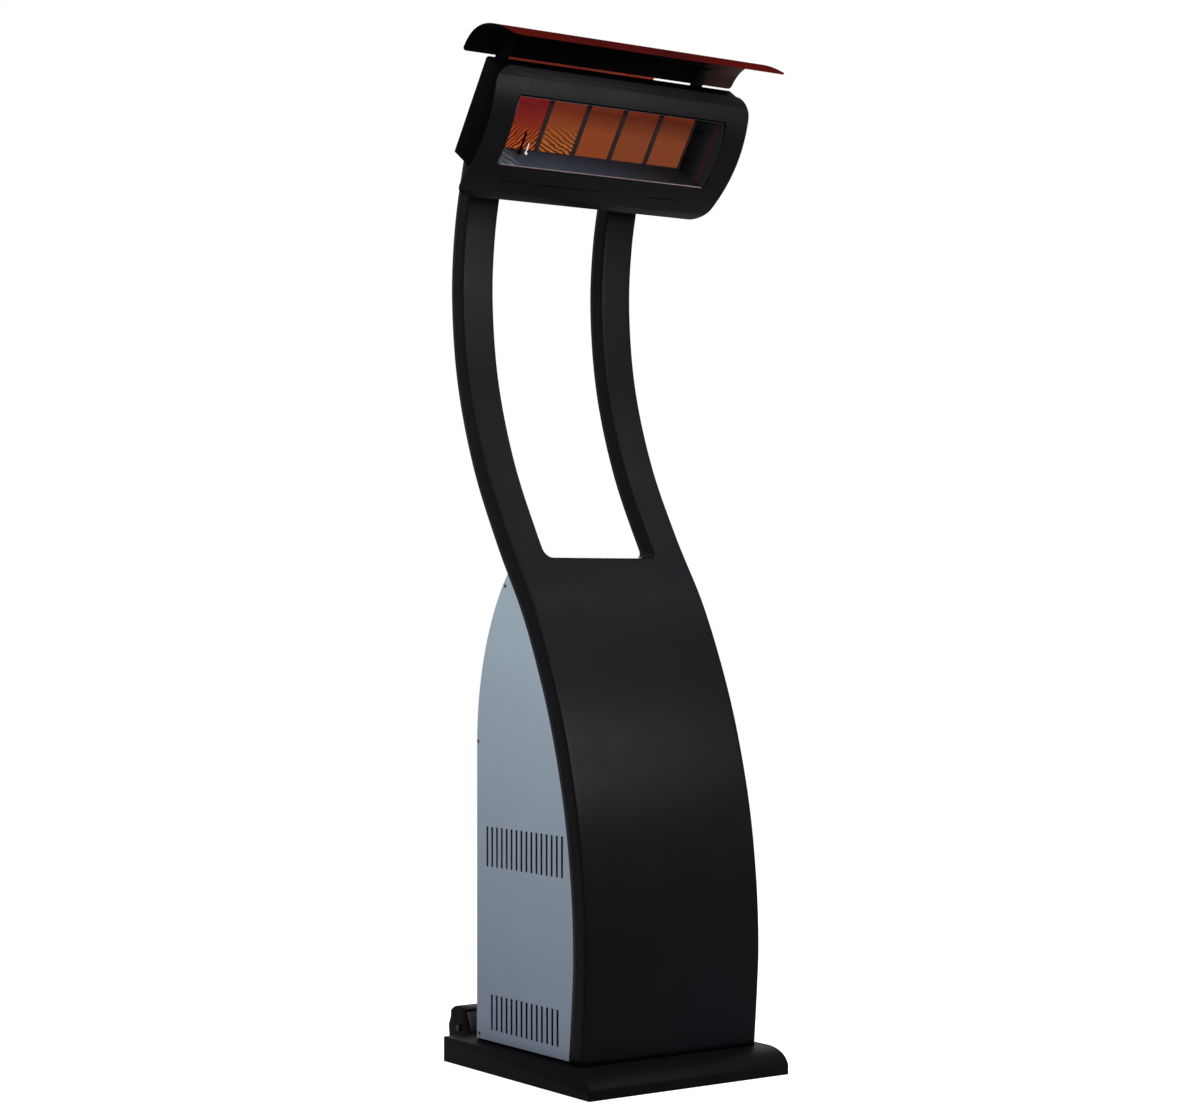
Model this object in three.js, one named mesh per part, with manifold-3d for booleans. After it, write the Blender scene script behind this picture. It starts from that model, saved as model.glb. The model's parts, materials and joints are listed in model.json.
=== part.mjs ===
// Infrared patio heater tower, in millimetres, +Z up.
// X runs across the front, Y runs from the front to the back, Z rises from the floor.
// Sizes along Y are given from the base's front edge; the whole model is centred at the end.

import * as THREE from 'three';
import { mergeVertices } from 'three/addons/utils/BufferGeometryUtils.js';
import Module from 'manifold-3d';

const wasm = await Module();
wasm.setup();

// ---------------------------------------------------------------- driving dimensions

const seat = 0.3; // gap between two pieces that rest on each other
const running = 0.4; // gap round a piece that turns or slides
const reach = 2000; // length of a cutting tool that goes right through
const bite = 1; // how far joined or cut shapes reach into each other
const round = 24; // sides of a round bar
const smallRound = 14;
const largeRound = 36;
const hexagon = 6;

// base
const baseWidth = 541;
const baseDepth = 581;
const baseTop = 57; // height of the pan's top face
const skirtFoot = 3; // height of the pan's lower edge
const panWall = 2;
const noseStart = 66; // where the top face begins to bend down to the front
const noseFoot = 15; // height where the front edge turns upright
const noseBend = [18, 50]; // control point of the bend
const noseSteps = 8;
const ballastThick = 12;
const footRadius = 20;
const footInset = 55; // from the base's edges to a foot's centre

// wheels
const wheelRadius = 45.5;
const wheelWidth = 50;
const wheelHeight = 62; // axle height over the floor
const wheelAcross = 168.5; // from the middle to a wheel's middle
const wheelClear = 1;
const hubRadius = 17;
const hubSink = 6; // how far the wheel's disc lies behind its sides
const treadThick = 14;
const treadTaper = 2;
const treadBevel = 5;
const axleRadius = 5;
const axleHead = 4; // length of the bolt's head
const axleHeadRadius = 9;
const cheekWall = 3;
const fenderWall = 3;
const fenderGap = 3;
const bracketFoot = 9; // gap from the floor to the bracket's back plate
const bracketDrop = 3; // from the pan's top to the bracket's back plate

// front frame: the S curve is the front surface seen from the side, as [depth, height]
const frameWidth = 473;
const frameDepth = 47; // from the front surface to the flanges' rear edge
const frameWall = 2;
const capWall = 4; // plate that closes the top of each arm
const frameCurve = [
  [78, 57.3], [66, 200], [62, 300], [70.5, 440], [95.5, 600], [139, 760], [193, 900],
  [268, 1050], [367.5, 1200], [464, 1371], [530, 1557], [554.5, 1742], [544, 1900],
  [509, 2041], [475, 2140],
];
const frameSteps = 46;
const armWidth = 83;
const sillHeight = 1150; // lower edge of the window between the arms
const sillCorner = 20;
const coverWall = 1.5; // arm covers
const coverGap = 3; // from the cabinet's top to the arm covers

// cabinet
const panelWall = 1.5;
const panelOverlap = 20; // how far a side panel reaches inside the frame's flange
const panelFoot = 63;
const rearEdge = 496; // depth of the side panels' upright rear edge
const rearBendStart = 736; // height where that edge begins to curve forward
const rearBendLow = 880; // height of the first control point of the curve
const rearBendHigh = [446, 1022]; // second control point
const apex = [368.6, 1114.5];
const rearSteps = 12;
const returnWidth = 16; // side panels' inward flange at the door
const ventSlot = 8; // width of a slot
const lowerVent = { count: 14, start: 172, end: 434, foot: 88, top: 168 };
const upperVent = { count: 16, start: 155, end: 453, foot: 454, top: 544 };
const screwRadius = 3.6;
const screwHead = 1.6;
const screwPlaces = [[485, 75], [490.5, 734], [379, 1086]];

// door
const doorWall = 1.5;
const doorFoot = 118; // just over the wheels and their fenders, past which the door swings
const doorTop = 733;
const doorSide = 232; // from the middle to the free edge
const stiffenerDepth = 10;
const stiffenerSide = 212;
const stiffenerRise = 18; // from the door's lower and upper edges to the stiffener
const hingeAcross = 224;
const hingeHeights = [150, 640];
const barrelRadius = 4;
const barrelLength = 16;
const hingePinRadius = 2;
const handleAcross = -190;
const handleLow = 390;
const handleHigh = 510;
const handleRadius = 6;
const handleStand = 28; // from the door to the grip's middle
const catchWidth = 12;
const catchHeight = 40;
const catchMiddle = 450;

// cabinet inside
const trayWall = 1.5;
const trayRim = 25;
const trayFront = 115;
const sillLap = 8; // how far the tray's rear wall stands up behind the door
const seatRise = 2; // pressed up under the cylinder
const seatGap = 2; // between the pressed seat and the ring round it
const ringRadius = 112; // outer radius of the cylinder's foot ring stop
const ringWall = 3;
const ringHeight = 22;
const ringDepth = 285; // depth of the cylinder's middle

// controls on the rear cover
const controlRise = 32; // from the cover's lower edge to the control panel
const controlHeight = 84;
const controlSide = 70;
const controlFace = 504; // depth of the panel's outer face
const controlInner = 474;
const controlWall = 2;
const controlLip = 6; // flange behind the cover's cut-out
const knobAcross = -33;
const buttonAcross = 36;
const knobRadius = 21;
const knobLength = 18;
const knobGrip = 7;
const knobGripReach = 19;
const knobSkirt = 6; // length of the knob's widest part
const knobBodyRadius = 17;
const knobBodyLength = 11;
const spindleRadius = 4;
const spindleLength = 14;
const buttonRadius = 9;
const buttonStroke = 3.5;
const buttonProud = 1.5; // what still stands out of the panel when the button is pressed
const buttonCollar = 11;
const buttonLength = 16;
const valveWidth = 44;
const valveHeight = 40;
const valveDepth = 60;
const valveBoss = 9.6;
const valveInlet = 7.8;
const valveInletDrop = 6; // how far the inlet hangs below the control panel
const valveOutlet = 9;
const valveOutletRise = 8;

// gas pipe
const tubeRadius = 6;
const tubeSides = 8;
const tubeSteps = 60;
const tubeAcross = 195;
const tubeHoleGap = 2;
const tubeOverBeam = 3; // clearance between the pipe and the top of the cross beam
const tubeRise = 30; // straight stretch above the valve
const tubeBends = [[20, 420, 930], [110, 375, 1010], [175, 335, 1080]]; // across, depth, height
const tubeStep = 100;
const tubeTop = 2050; // height where the pipe turns inwards out of the arm
const swivelAcross = 22; // from the middle to where the pipe meets the head's own

// head support
const beamHeight = 34;
const beamDepth = 34;
const beamMiddle = [511, 2086];
const beamWall = 3;
const armTop = 2140;
const bracketPlate = 4;
const bracketAcross = 118; // from the middle to a tilt bracket's plate
const bracketEye = 17;
const lugGap = 0.5;
const lugEye = 15;
const yokeWall = 3;
const lugRoot = 24; // half the height of a lug at the housing
const boltRadius = 5;
const boltHead = 8;
const tiltKnobLength = 20;
const tiltKnobLobes = 5;
const tiltLobeRadius = 7.6;
const tiltLobeCircle = 12.4;
const tiltCoreRadius = 13.2;
const tiltCollar = 9;
const nutRadius = 9;
const nutLength = 7;

// head, in its own frame: origin on the tilt axis, -Y is the way the burner faces, +Z its top
const pivot = [405.4, 2157.1];
const tiltDegrees = 35;
const housingSide = 335.5;
const housingRear = -35;
const housingTop = 138;
const housingFoot = -98;
const housingWall = 1.5;
const housingChamfer = 6;
const fasciaSide = 350;
const fasciaWall = 1.5;
const fasciaTop = [-105, 150];
const fasciaBend = [-191.5, 12];
const fasciaFoot = [-102.9, -171.4];
const fasciaSteps = 20;
const fasciaCorner = 42;
const windowSide = 288;
const windowTop = 96;
const windowFoot = -71;
const windowCorner = 8;
const windowDepth = 142; // how far the window lies in front of the tilt axis
const louvreHeight = -115;
const louvreTall = 3.2;
const louvres = [[-255, -172], [-163, 12], [149, 236]];
const tileCount = 5;
const tileWidth = 94;
const tileHeight = 132;
const tileThick = 12;
const tileGap = 7.5; // from one tile to the next
const tileFace = -69; // depth of the tiles' glowing face
const tileMiddle = 6; // height of the tiles' middle
const tileBar = 12; // width of the frame's bars between two tiles
const tileLip = 2; // how far the frame covers a tile above and below
const tileFrameWall = 1.5;
const plenumWall = 1.5;
const plenumBorder = 6; // from the outer tiles to the plenum's sides
const reflectorWall = 1.2;
const reflectorRear = 2; // how far its rear edge lies inside the burner's edge
const reflectorFront = 1; // how far its walls aim inside the window's edge
const reflectorLength = 120;
const mixerRadius = 10;
const mixerWall = 1.5;
const mixerEnd = -225;
const mixerStart = -16;
const mixerPlace = [-51, -82];
const injectorRadius = 7;
const injectorLength = 16;
const nozzleRadius = 2;
const nozzleLength = 7;
const inletRadius = 5;
const inletHoleGap = 2;
const inletSteps = 24;
const inletBends = [[12, 0, 0], [2, -6, -8], [0, -16, -30], [0, -17, -55], [-3, -19, -74]];
const inletTurn = -26; // depth where the pipe turns towards the injector
const sensorAcross = -205;
const igniterAcross = -189;
const rodDepth = -88;
const sensorRadius = 1.6;
const sensorTop = -8;
const igniterRadius = 3.4;
const igniterTop = -34;
const rodBase = 6; // radius of the ceramic bases
const rodBaseTop = -52;

// hood, in the head's frame
const hoodSide = 374;
const hoodWall = 1.5;
const hoodRear = [4.9, 128];
const hoodRise = [3, 194];
const hoodFall = [-52, 228];
const hoodLip = [-156.7, 247.6];
const hoodSteps = 18;
const hoodCorner = 18;
const hoodStart = 0.36; // share of the curve under which a post is fixed
const postInset = 64.5; // from the housing's side to a post's middle
const postWidth = 34;
const postWall = 3;
const postFoot = 100;
const postWeb = 118;
const postTop = 172;
const baffleGap = 1; // from the left post to the baffle
const baffleLength = 395;
const baffleWall = 1.5;
const baffleFoot = 102;
const baffleWeb = 113;
const baffleTop = 136;
const baffleDepth = -3;

// ---------------------------------------------------------------- finishes

function finish(colour, roughness, metalness) {
  return { colour, roughness, metalness };
}

const blackCoat = finish(0x1b1b1e, 0.42, 0.3);
const greyCoat = finish(0x84909b, 0.48, 0.35);
const baseCoat = finish(0x141416, 0.5, 0.3);
const castIron = finish(0x2b2b2d, 0.8, 0.5);
const rubber = finish(0x1a1a1b, 0.9, 0);
const steel = finish(0x8d9197, 0.35, 1);
const darkSteel = finish(0x3a3d42, 0.45, 0.9);
const ceramic = finish(0x8a3a1c, 0.9, 0);
const whiteCeramic = finish(0xd9d6cc, 0.6, 0);
const brass = finish(0xb08d4a, 0.35, 1);
const knobPlastic = finish(0x202022, 0.55, 0);
const hoodCoat = finish(0x3a1512, 0.4, 0.3);
const heatTint = finish(0xb0482a, 0.4, 0.8);

// ---------------------------------------------------------------- solid helpers

function toSolid(geometry) {
  const bare = geometry.index ? geometry.toNonIndexed() : geometry.clone();
  bare.deleteAttribute('normal');
  bare.deleteAttribute('uv');
  const merged = mergeVertices(bare, 1e-4);
  return new wasm.Manifold(new wasm.Mesh({
    numProp: 3,
    vertProperties: new Float32Array(merged.attributes.position.array),
    triVerts: new Uint32Array(merged.index.array),
  }));
}

function toGeometry(solid) {
  const data = solid.getMesh();
  const geometry = new THREE.BufferGeometry();
  geometry.setAttribute('position', new THREE.BufferAttribute(new Float32Array(data.vertProperties), 3));
  geometry.setIndex(new THREE.BufferAttribute(new Uint32Array(data.triVerts), 1));
  return geometry;
}

function fuse(first, ...others) {
  return others.reduce((whole, piece) => whole.add(piece), first);
}

function cut(first, ...others) {
  return others.reduce((whole, piece) => whole.subtract(piece), first);
}

/** A named mesh of one closed solid. */
function piece(name, solid, look) {
  const material = new THREE.MeshStandardMaterial({
    color: look.colour,
    roughness: look.roughness,
    metalness: look.metalness,
  });
  const mesh = new THREE.Mesh(toGeometry(solid), material);
  mesh.name = name;
  return mesh;
}

const axes = {
  x: new THREE.Vector3(1, 0, 0),
  y: new THREE.Vector3(0, 1, 0),
  z: new THREE.Vector3(0, 0, 1),
};

function prism(outline, start, end, basis) {
  const shape = new THREE.Shape(outline.map(([a, b]) => new THREE.Vector2(a, b)));
  const geometry = new THREE.ExtrudeGeometry(shape, { depth: end - start, bevelEnabled: false });
  geometry.translate(0, 0, start);
  geometry.applyMatrix4(basis);
  return toSolid(geometry);
}

/** An outline of [depth, height] points, drawn out across from one X to another. */
function acrossPrism(outline, start, end) {
  return prism(outline, start, end, new THREE.Matrix4().makeBasis(axes.y, axes.z, axes.x));
}

/** An outline of [across, height] points, drawn out from one depth to another. */
function depthPrism(outline, start, end) {
  const basis = new THREE.Matrix4().makeBasis(axes.x, axes.z, axes.y.clone().negate());
  return prism(outline, -end, -start, basis);
}

/** An outline of [across, depth] points, drawn up from one height to another. */
function upPrism(outline, start, end) {
  return prism(outline, start, end, new THREE.Matrix4());
}

function block(x, y, z) {
  const geometry = new THREE.BoxGeometry(x[1] - x[0], y[1] - y[0], z[1] - z[0]);
  geometry.translate((x[0] + x[1]) / 2, (y[0] + y[1]) / 2, (z[0] + z[1]) / 2);
  return toSolid(geometry);
}

/** A round bar along an axis, from start to end, through the two other coordinates in place. */
function rod(axis, radius, start, end, place, sides = 24) {
  const geometry = new THREE.CylinderGeometry(radius, radius, end - start, sides);
  geometry.translate(0, (start + end) / 2, 0);
  if (axis === 'x') {
    geometry.rotateZ(-Math.PI / 2);
    geometry.translate(0, place[0], place[1]);
  } else if (axis === 'z') {
    geometry.rotateX(Math.PI / 2);
    geometry.translate(place[0], place[1], 0);
  } else {
    geometry.translate(place[0], 0, place[1]);
  }
  return toSolid(geometry);
}

function roundedBox(left, right, foot, top, radius, steps = 6) {
  const corners = [
    [right - radius, foot + radius, -90], [right - radius, top - radius, 0],
    [left + radius, top - radius, 90], [left + radius, foot + radius, 180],
  ];
  const outline = [];
  for (const [x, z, from] of corners) {
    for (let i = 0; i <= steps; i += 1) {
      const angle = THREE.MathUtils.degToRad(from + (90 * i) / steps);
      outline.push([x + radius * Math.cos(angle), z + radius * Math.sin(angle)]);
    }
  }
  return outline;
}

/** Points moved square to the line through them; a positive distance moves them to its left. */
function beside(points, distance) {
  return points.map((point, i) => {
    const before = points[Math.max(i - 1, 0)];
    const after = points[Math.min(i + 1, points.length - 1)];
    const along = new THREE.Vector2(after[0] - before[0], after[1] - before[1]).normalize();
    return [point[0] - along.y * distance, point[1] + along.x * distance];
  });
}

function bezier(start, first, second, end, steps) {
  const vectors = [start, first, second, end].map(([a, b]) => new THREE.Vector2(a, b));
  return new THREE.CubicBezierCurve(...vectors).getPoints(steps).map((p) => [p.x, p.y]);
}

function bend(start, control, end, steps) {
  const vectors = [start, control, end].map(([a, b]) => new THREE.Vector2(a, b));
  return new THREE.QuadraticBezierCurve(...vectors).getPoints(steps).map((p) => [p.x, p.y]);
}

/** A closed band between a line of points and the same line moved sideways. */
function band(points, from, to) {
  return [...beside(points, from), ...beside(points, to).reverse()];
}

function tube(points, radius, sides, steps) {
  const path = new THREE.CatmullRomCurve3(points.map((p) => new THREE.Vector3(...p)), false, 'centripetal');
  const section = new THREE.Shape();
  for (let i = 0; i < sides; i += 1) {
    const angle = (2 * Math.PI * i) / sides;
    const x = radius * Math.cos(angle);
    const y = radius * Math.sin(angle);
    if (i === 0) section.moveTo(x, y);
    else section.lineTo(x, y);
  }
  section.closePath();
  return toSolid(new THREE.ExtrudeGeometry(section, { steps, extrudePath: path, bevelEnabled: false }));
}

function mirrored(solid) {
  return solid.mirror([1, 0, 0]);
}

const sides = [['left', -1], ['right', 1]];

// ---------------------------------------------------------------- shared curves

const frameFront = new THREE.SplineCurve(frameCurve.map(([y, z]) => new THREE.Vector2(y, z)))
  .getPoints(frameSteps)
  .map((p) => [p.x, p.y]);

/** The frame's curve moved back from its front surface. */
function behindFront(distance) {
  return beside(frameFront, -distance);
}

/** The depth of a line of points at a height. */
function depthAt(points, height) {
  const after = points.findIndex((p) => p[1] >= height);
  const [low, high] = [points[after - 1], points[after]];
  return low[0] + ((high[0] - low[0]) * (height - low[1])) / (high[1] - low[1]);
}

const rearCurve = bezier([rearEdge, rearBendStart], [rearEdge, rearBendLow], rearBendHigh, apex, rearSteps);
const fasciaLine = bend(fasciaTop, fasciaBend, fasciaFoot, fasciaSteps);
const hoodLine = bezier(hoodRear, hoodRise, hoodFall, hoodLip, hoodSteps);

const windowEdge = frameWidth / 2 - armWidth;
const ballastTop = baseTop - panWall - seat;
const ballastFoot = ballastTop - ballastThick;
const controlFoot = rearBendStart + controlRise;
const controlTop = controlFoot + controlHeight;
const controlMiddle = (controlFoot + controlTop) / 2;
const postAcross = housingSide - postInset;
const baffleStart = baffleGap - (postAcross - postWidth / 2);
const beamFront = beamMiddle[0] - beamDepth / 2;
const beamTop = beamMiddle[1] + beamHeight / 2;
const tubeCross = beamTop + tubeRadius + tubeOverBeam; // height at which the pipe crosses the beam
const injectorMiddle = mixerStart + seat + injectorLength / 2;

// ---------------------------------------------------------------- base

function baseOutline(inset) {
  const top = baseTop - inset;
  const foot = inset > 0 ? -baseTop : skirtFoot;
  const control = [noseBend[0] + inset, noseBend[1] - inset];
  const nose = bend([noseStart, top], control, [inset, noseFoot], noseSteps);
  return [[baseDepth - inset, foot], [baseDepth - inset, top], ...nose, [inset, foot]];
}

function basePan() {
  const half = baseWidth / 2;
  const outside = acrossPrism(baseOutline(0), -half, half);
  const inside = acrossPrism(baseOutline(panWall), panWall - half, half - panWall);
  return cut(outside, inside);
}

function ballastBlock() {
  const half = baseWidth / 2 - panWall - seat;
  return block([-half, half], [noseStart, baseDepth - panWall - seat], [ballastFoot, ballastTop]);
}

function feet() {
  const across = baseWidth / 2 - footInset;
  const places = [
    [-across, noseStart + footInset / 2], [across, noseStart + footInset / 2],
    [-across, baseDepth - footInset], [across, baseDepth - footInset],
  ];
  return places.map((place, i) => (
    piece(`foot_${i + 1}`, rod('z', footRadius, 0, ballastFoot - seat, place), rubber)
  ));
}

const bracketBack = baseDepth + seat; // front face of a wheel bracket's back plate
const wheelDepth = bracketBack + cheekWall + wheelClear + wheelRadius;
const cheekInner = wheelWidth / 2 + wheelClear;
const cheekOuter = cheekInner + cheekWall;
const fenderOuter = wheelRadius + fenderGap + fenderWall;

function fenderArc(radius) {
  const [start, end, steps] = [118, 46, 8];
  const arc = [];
  for (let i = 0; i <= steps; i += 1) {
    const angle = THREE.MathUtils.degToRad(start + ((end - start) * i) / steps);
    arc.push([wheelDepth + radius * Math.cos(angle), wheelHeight + radius * Math.sin(angle)]);
  }
  return arc;
}

function cheekOutline() {
  const plateTop = baseTop - bracketDrop;
  const arc = fenderArc(fenderOuter);
  const rear = wheelDepth + wheelRadius;
  return [
    [bracketBack, bracketFoot], [bracketBack, plateTop], ...arc,
    [rear - fenderGap * 3, wheelHeight + wheelRadius / 2], [rear, wheelHeight + fenderGap],
    [rear - fenderGap, wheelHeight - wheelRadius / 2],
    [wheelDepth + hubRadius, wheelHeight - wheelRadius + fenderGap], [wheelDepth - hubRadius, bracketFoot],
  ].reverse();
}

function wheelBracket(across) {
  const plateTop = baseTop - bracketDrop;
  const outer = cheekOutline();
  const cheeks = [
    acrossPrism(outer, across - cheekOuter, across - cheekInner),
    acrossPrism(outer, across + cheekInner, across + cheekOuter),
  ];
  const fenderBand = [...fenderArc(fenderOuter), ...fenderArc(wheelRadius + fenderGap).reverse()];
  const fender = acrossPrism(fenderBand.reverse(), across - cheekOuter, across + cheekOuter);
  const back = block(
    [across - cheekOuter, across + cheekOuter],
    [bracketBack, bracketBack + cheekWall],
    [bracketFoot, plateTop],
  );
  const bore = rod('x', axleRadius + seat, across - reach, across + reach, [wheelDepth, wheelHeight]);
  return cut(fuse(back, ...cheeks, fender), bore);
}

function wheel(across) {
  const half = wheelWidth / 2;
  const disc = wheelRadius - treadThick;
  const rim = disc + treadTaper;
  const bevel = treadBevel;
  const bore = axleRadius + running;
  const profile = [
    [bore, -half], [hubRadius, -half], [hubRadius, hubSink - half], [disc, hubSink - half],
    [rim, -half], [wheelRadius - bevel, -half], [wheelRadius, bevel - half],
    [wheelRadius, half - bevel], [wheelRadius - bevel, half], [rim, half],
    [disc, half - hubSink], [hubRadius, half - hubSink], [hubRadius, half], [bore, half],
    [bore, -half],
  ].map(([radius, along]) => new THREE.Vector2(radius, along));
  const geometry = new THREE.LatheGeometry(profile, largeRound);
  geometry.rotateZ(-Math.PI / 2);
  geometry.translate(across, wheelDepth, wheelHeight);
  return toSolid(geometry);
}

function wheelAxle(across, side) {
  const place = [wheelDepth, wheelHeight];
  const shank = rod('x', axleRadius, across - cheekOuter - axleHead, across + cheekOuter + axleHead, place);
  const headEnds = [across - cheekOuter - seat, across + cheekOuter + seat];
  const outerHead = rod('x', axleHeadRadius, headEnds[0] - axleHead, headEnds[0], place, hexagon);
  const innerHead = rod('x', axleHeadRadius, headEnds[1], headEnds[1] + axleHead, place, hexagon);
  return piece(`wheel_axle_${side}`, fuse(shank, outerHead, innerHead), steel);
}

function baseGroup() {
  const group = new THREE.Group();
  group.add(piece('base_pan', basePan(), baseCoat));
  group.add(piece('ballast_block', ballastBlock(), castIron));
  group.add(...feet());
  for (const [side, sign] of sides) {
    const across = sign * wheelAcross;
    group.add(piece(`wheel_bracket_${side}`, wheelBracket(across), baseCoat));
    group.add(piece(`wheel_${side}`, wheel(across), rubber));
    group.add(wheelAxle(across, side));
  }
  return group;
}

// ---------------------------------------------------------------- front frame and arms

function windowOutline(grow) {
  const half = windowEdge + grow;
  return roundedBox(-half, half, sillHeight - grow, armTop + reach, sillCorner + grow);
}

/** The hole in the right arm's inner wall through which the gas pipe comes out over the beam. */
function tubeWay() {
  return rod('x', tubeRadius + tubeHoleGap, 0, windowEdge + frameWall + bite, [beamMiddle[0], tubeCross]);
}

function frontFrame() {
  const half = frameWidth / 2;
  const between = [...frameFront, ...behindFront(frameDepth).reverse()];
  const sheet = acrossPrism([...frameFront, ...behindFront(frameWall).reverse()].reverse(), -half, half);
  const flank = acrossPrism([...between].reverse(), half - frameWall, half);
  const full = acrossPrism([...between].reverse(), -half, half);
  const rim = full.intersect(cut(
    depthPrism(windowOutline(frameWall), -reach, reach),
    depthPrism(windowOutline(0), -reach - bite, reach + bite),
  ));
  const cap = full.intersect(block([-half, half], [0, reach], [armTop - capWall, armTop + reach]));
  const whole = fuse(sheet, flank, mirrored(flank), rim, cap);
  const opened = cut(whole, depthPrism(windowOutline(0), -reach, reach), tubeWay());
  return opened.intersect(block([-half, half], [-reach, reach], [0, armTop]));
}

function armCover(sign) {
  const inner = windowEdge + frameWall + seat;
  const outer = frameWidth / 2 - frameWall - seat;
  const line = [...behindFront(frameDepth - coverWall), ...behindFront(frameDepth).reverse()].reverse();
  const plate = acrossPrism(line, inner, outer);
  const kept = plate.intersect(block([0, reach], [0, reach], [apex[1] + coverGap, armTop - capWall - seat]));
  return sign < 0 ? mirrored(kept) : kept;
}

// ---------------------------------------------------------------- cabinet

const panelOuter = frameWidth / 2 - frameWall - seat;
const panelInner = panelOuter - panelWall;

function ventCutters(vent) {
  const pitch = (vent.end - vent.start) / (vent.count - 1);
  const cutters = [];
  for (let i = 0; i < vent.count; i += 1) {
    const middle = vent.start + i * pitch;
    cutters.push(block(
      [panelInner - panelWall, panelOuter + panelWall],
      [middle - ventSlot / 2, middle + ventSlot / 2],
      [vent.foot, vent.top],
    ));
  }
  return cutters;
}

function sidePanel(sign) {
  const frontLine = behindFront(frameDepth - panelOverlap)
    .filter(([, z]) => z > panelFoot && z < apex[1] - panelOverlap);
  const outline = [
    [depthAt(behindFront(frameDepth - panelOverlap), panelFoot), panelFoot], [rearEdge, panelFoot],
    ...rearCurve, ...frontLine.reverse(),
  ];
  const plate = acrossPrism(outline, panelInner, panelOuter);
  const lip = block(
    [panelOuter - returnWidth, panelOuter],
    [rearEdge - panelWall, rearEdge],
    [panelFoot, doorTop],
  );
  const whole = cut(fuse(plate, lip), ...ventCutters(lowerVent), ...ventCutters(upperVent));
  return sign < 0 ? mirrored(whole) : whole;
}

function sideScrews(side, sign) {
  return screwPlaces.map(([y, z], i) => {
    const head = rod('x', screwRadius, panelOuter + seat, panelOuter + seat + screwHead, [y, z], smallRound);
    return piece(`side_screw_${side}_${i + 1}`, sign < 0 ? mirrored(head) : head, darkSteel);
  });
}

const doorFace = rearEdge + seat; // inner face of the door's plate
const barrelDepth = doorFace + seat + barrelRadius;

function hingeBarrel(middle, from, to) {
  return rod('z', barrelRadius, middle + from, middle + to, [hingeAcross, barrelDepth]);
}

function rearDoor() {
  const hingeEdge = hingeAcross - barrelRadius - running;
  const plate = block([-doorSide, hingeEdge], [doorFace, doorFace + doorWall], [doorFoot, doorTop]);
  const low = doorFoot + stiffenerRise;
  const high = doorTop - stiffenerRise;
  const ring = cut(
    block([-stiffenerSide, stiffenerSide], [doorFace - stiffenerDepth, doorFace + doorWall], [low, high]),
    block(
      [doorWall - stiffenerSide, stiffenerSide - doorWall],
      [doorFace - reach, doorFace + doorWall / 2],
      [low + doorWall, high - doorWall],
    ),
  );
  const bore = rod('z', hingePinRadius + running, 0, reach, [hingeAcross, barrelDepth]);
  const knuckles = hingeHeights.map((height) => fuse(
    hingeBarrel(height, running, barrelLength - running),
    block(
      [hingeEdge - doorWall, hingeAcross],
      [doorFace + seat, doorFace + doorWall],
      [height + running, height + barrelLength - running],
    ),
  ));
  return cut(fuse(plate, ring, ...knuckles), bore);
}

function doorHinge(height) {
  const low = hingeBarrel(height, -barrelLength, 0);
  const high = hingeBarrel(height, barrelLength, 2 * barrelLength);
  const pinEnds = [height - bite, height + barrelLength + bite];
  const pin = rod('z', hingePinRadius, ...pinEnds, [hingeAcross, barrelDepth]);
  const leaf = (from, to) => block(
    [hingeAcross, panelOuter],
    [doorFace, doorFace + doorWall],
    [height + from, height + to],
  );
  const back = block(
    [hingeAcross + barrelRadius + running, panelOuter],
    [doorFace, doorFace + doorWall],
    [height - barrelLength, height + 2 * barrelLength],
  );
  return fuse(low, high, pin, leaf(-barrelLength, 0), leaf(barrelLength, 2 * barrelLength), back);
}

function doorHandle() {
  const face = doorFace + doorWall + seat;
  const grip = face + handleStand;
  const bar = rod('z', handleRadius, handleLow, handleHigh, [handleAcross, grip]);
  const stand = (height) => rod('y', handleRadius, face, grip, [handleAcross, height]);
  const inset = handleRadius * 2;
  return fuse(bar, stand(handleLow + inset), stand(handleHigh - inset));
}

function doorCatch() {
  const left = -panelInner + seat;
  const depth = rearEdge - panelWall - seat;
  return block(
    [left, left + catchWidth],
    [depth - catchWidth, depth],
    [catchMiddle - catchHeight / 2, catchMiddle + catchHeight / 2],
  );
}

function controlHole(grow) {
  return block(
    [-controlSide - grow, controlSide + grow],
    [rearEdge - reach / 4, reach],
    [controlFoot - grow, controlTop + grow],
  );
}

function rearCover() {
  const outline = [...rearCurve, ...beside(rearCurve, panelWall).reverse()];
  const sheet = acrossPrism(outline, seat - panelInner, panelInner - seat);
  return cut(sheet, controlHole(seat));
}

function controlPanel() {
  const outside = block([-controlSide, controlSide], [controlInner, controlFace], [controlFoot, controlTop]);
  const inside = block(
    [controlWall - controlSide, controlSide - controlWall],
    [controlInner - bite, controlFace - controlWall],
    [controlFoot + controlWall, controlTop - controlWall],
  );
  const holes = [
    rod('y', spindleRadius + running, 0, reach, [knobAcross, controlMiddle]),
    rod('y', buttonRadius + running, 0, reach, [buttonAcross, controlMiddle]),
  ];
  const flange = cut(
    block(
      [-controlSide - controlLip, controlSide + controlLip],
      [controlInner - controlWall, controlInner],
      [controlFoot - controlLip, controlTop + controlLip],
    ),
    block(
      [controlWall - controlSide, controlSide - controlWall],
      [0, reach],
      [controlFoot + controlWall, controlTop - controlWall],
    ),
  );
  return cut(fuse(cut(outside, inside), flange), ...holes);
}

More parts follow.
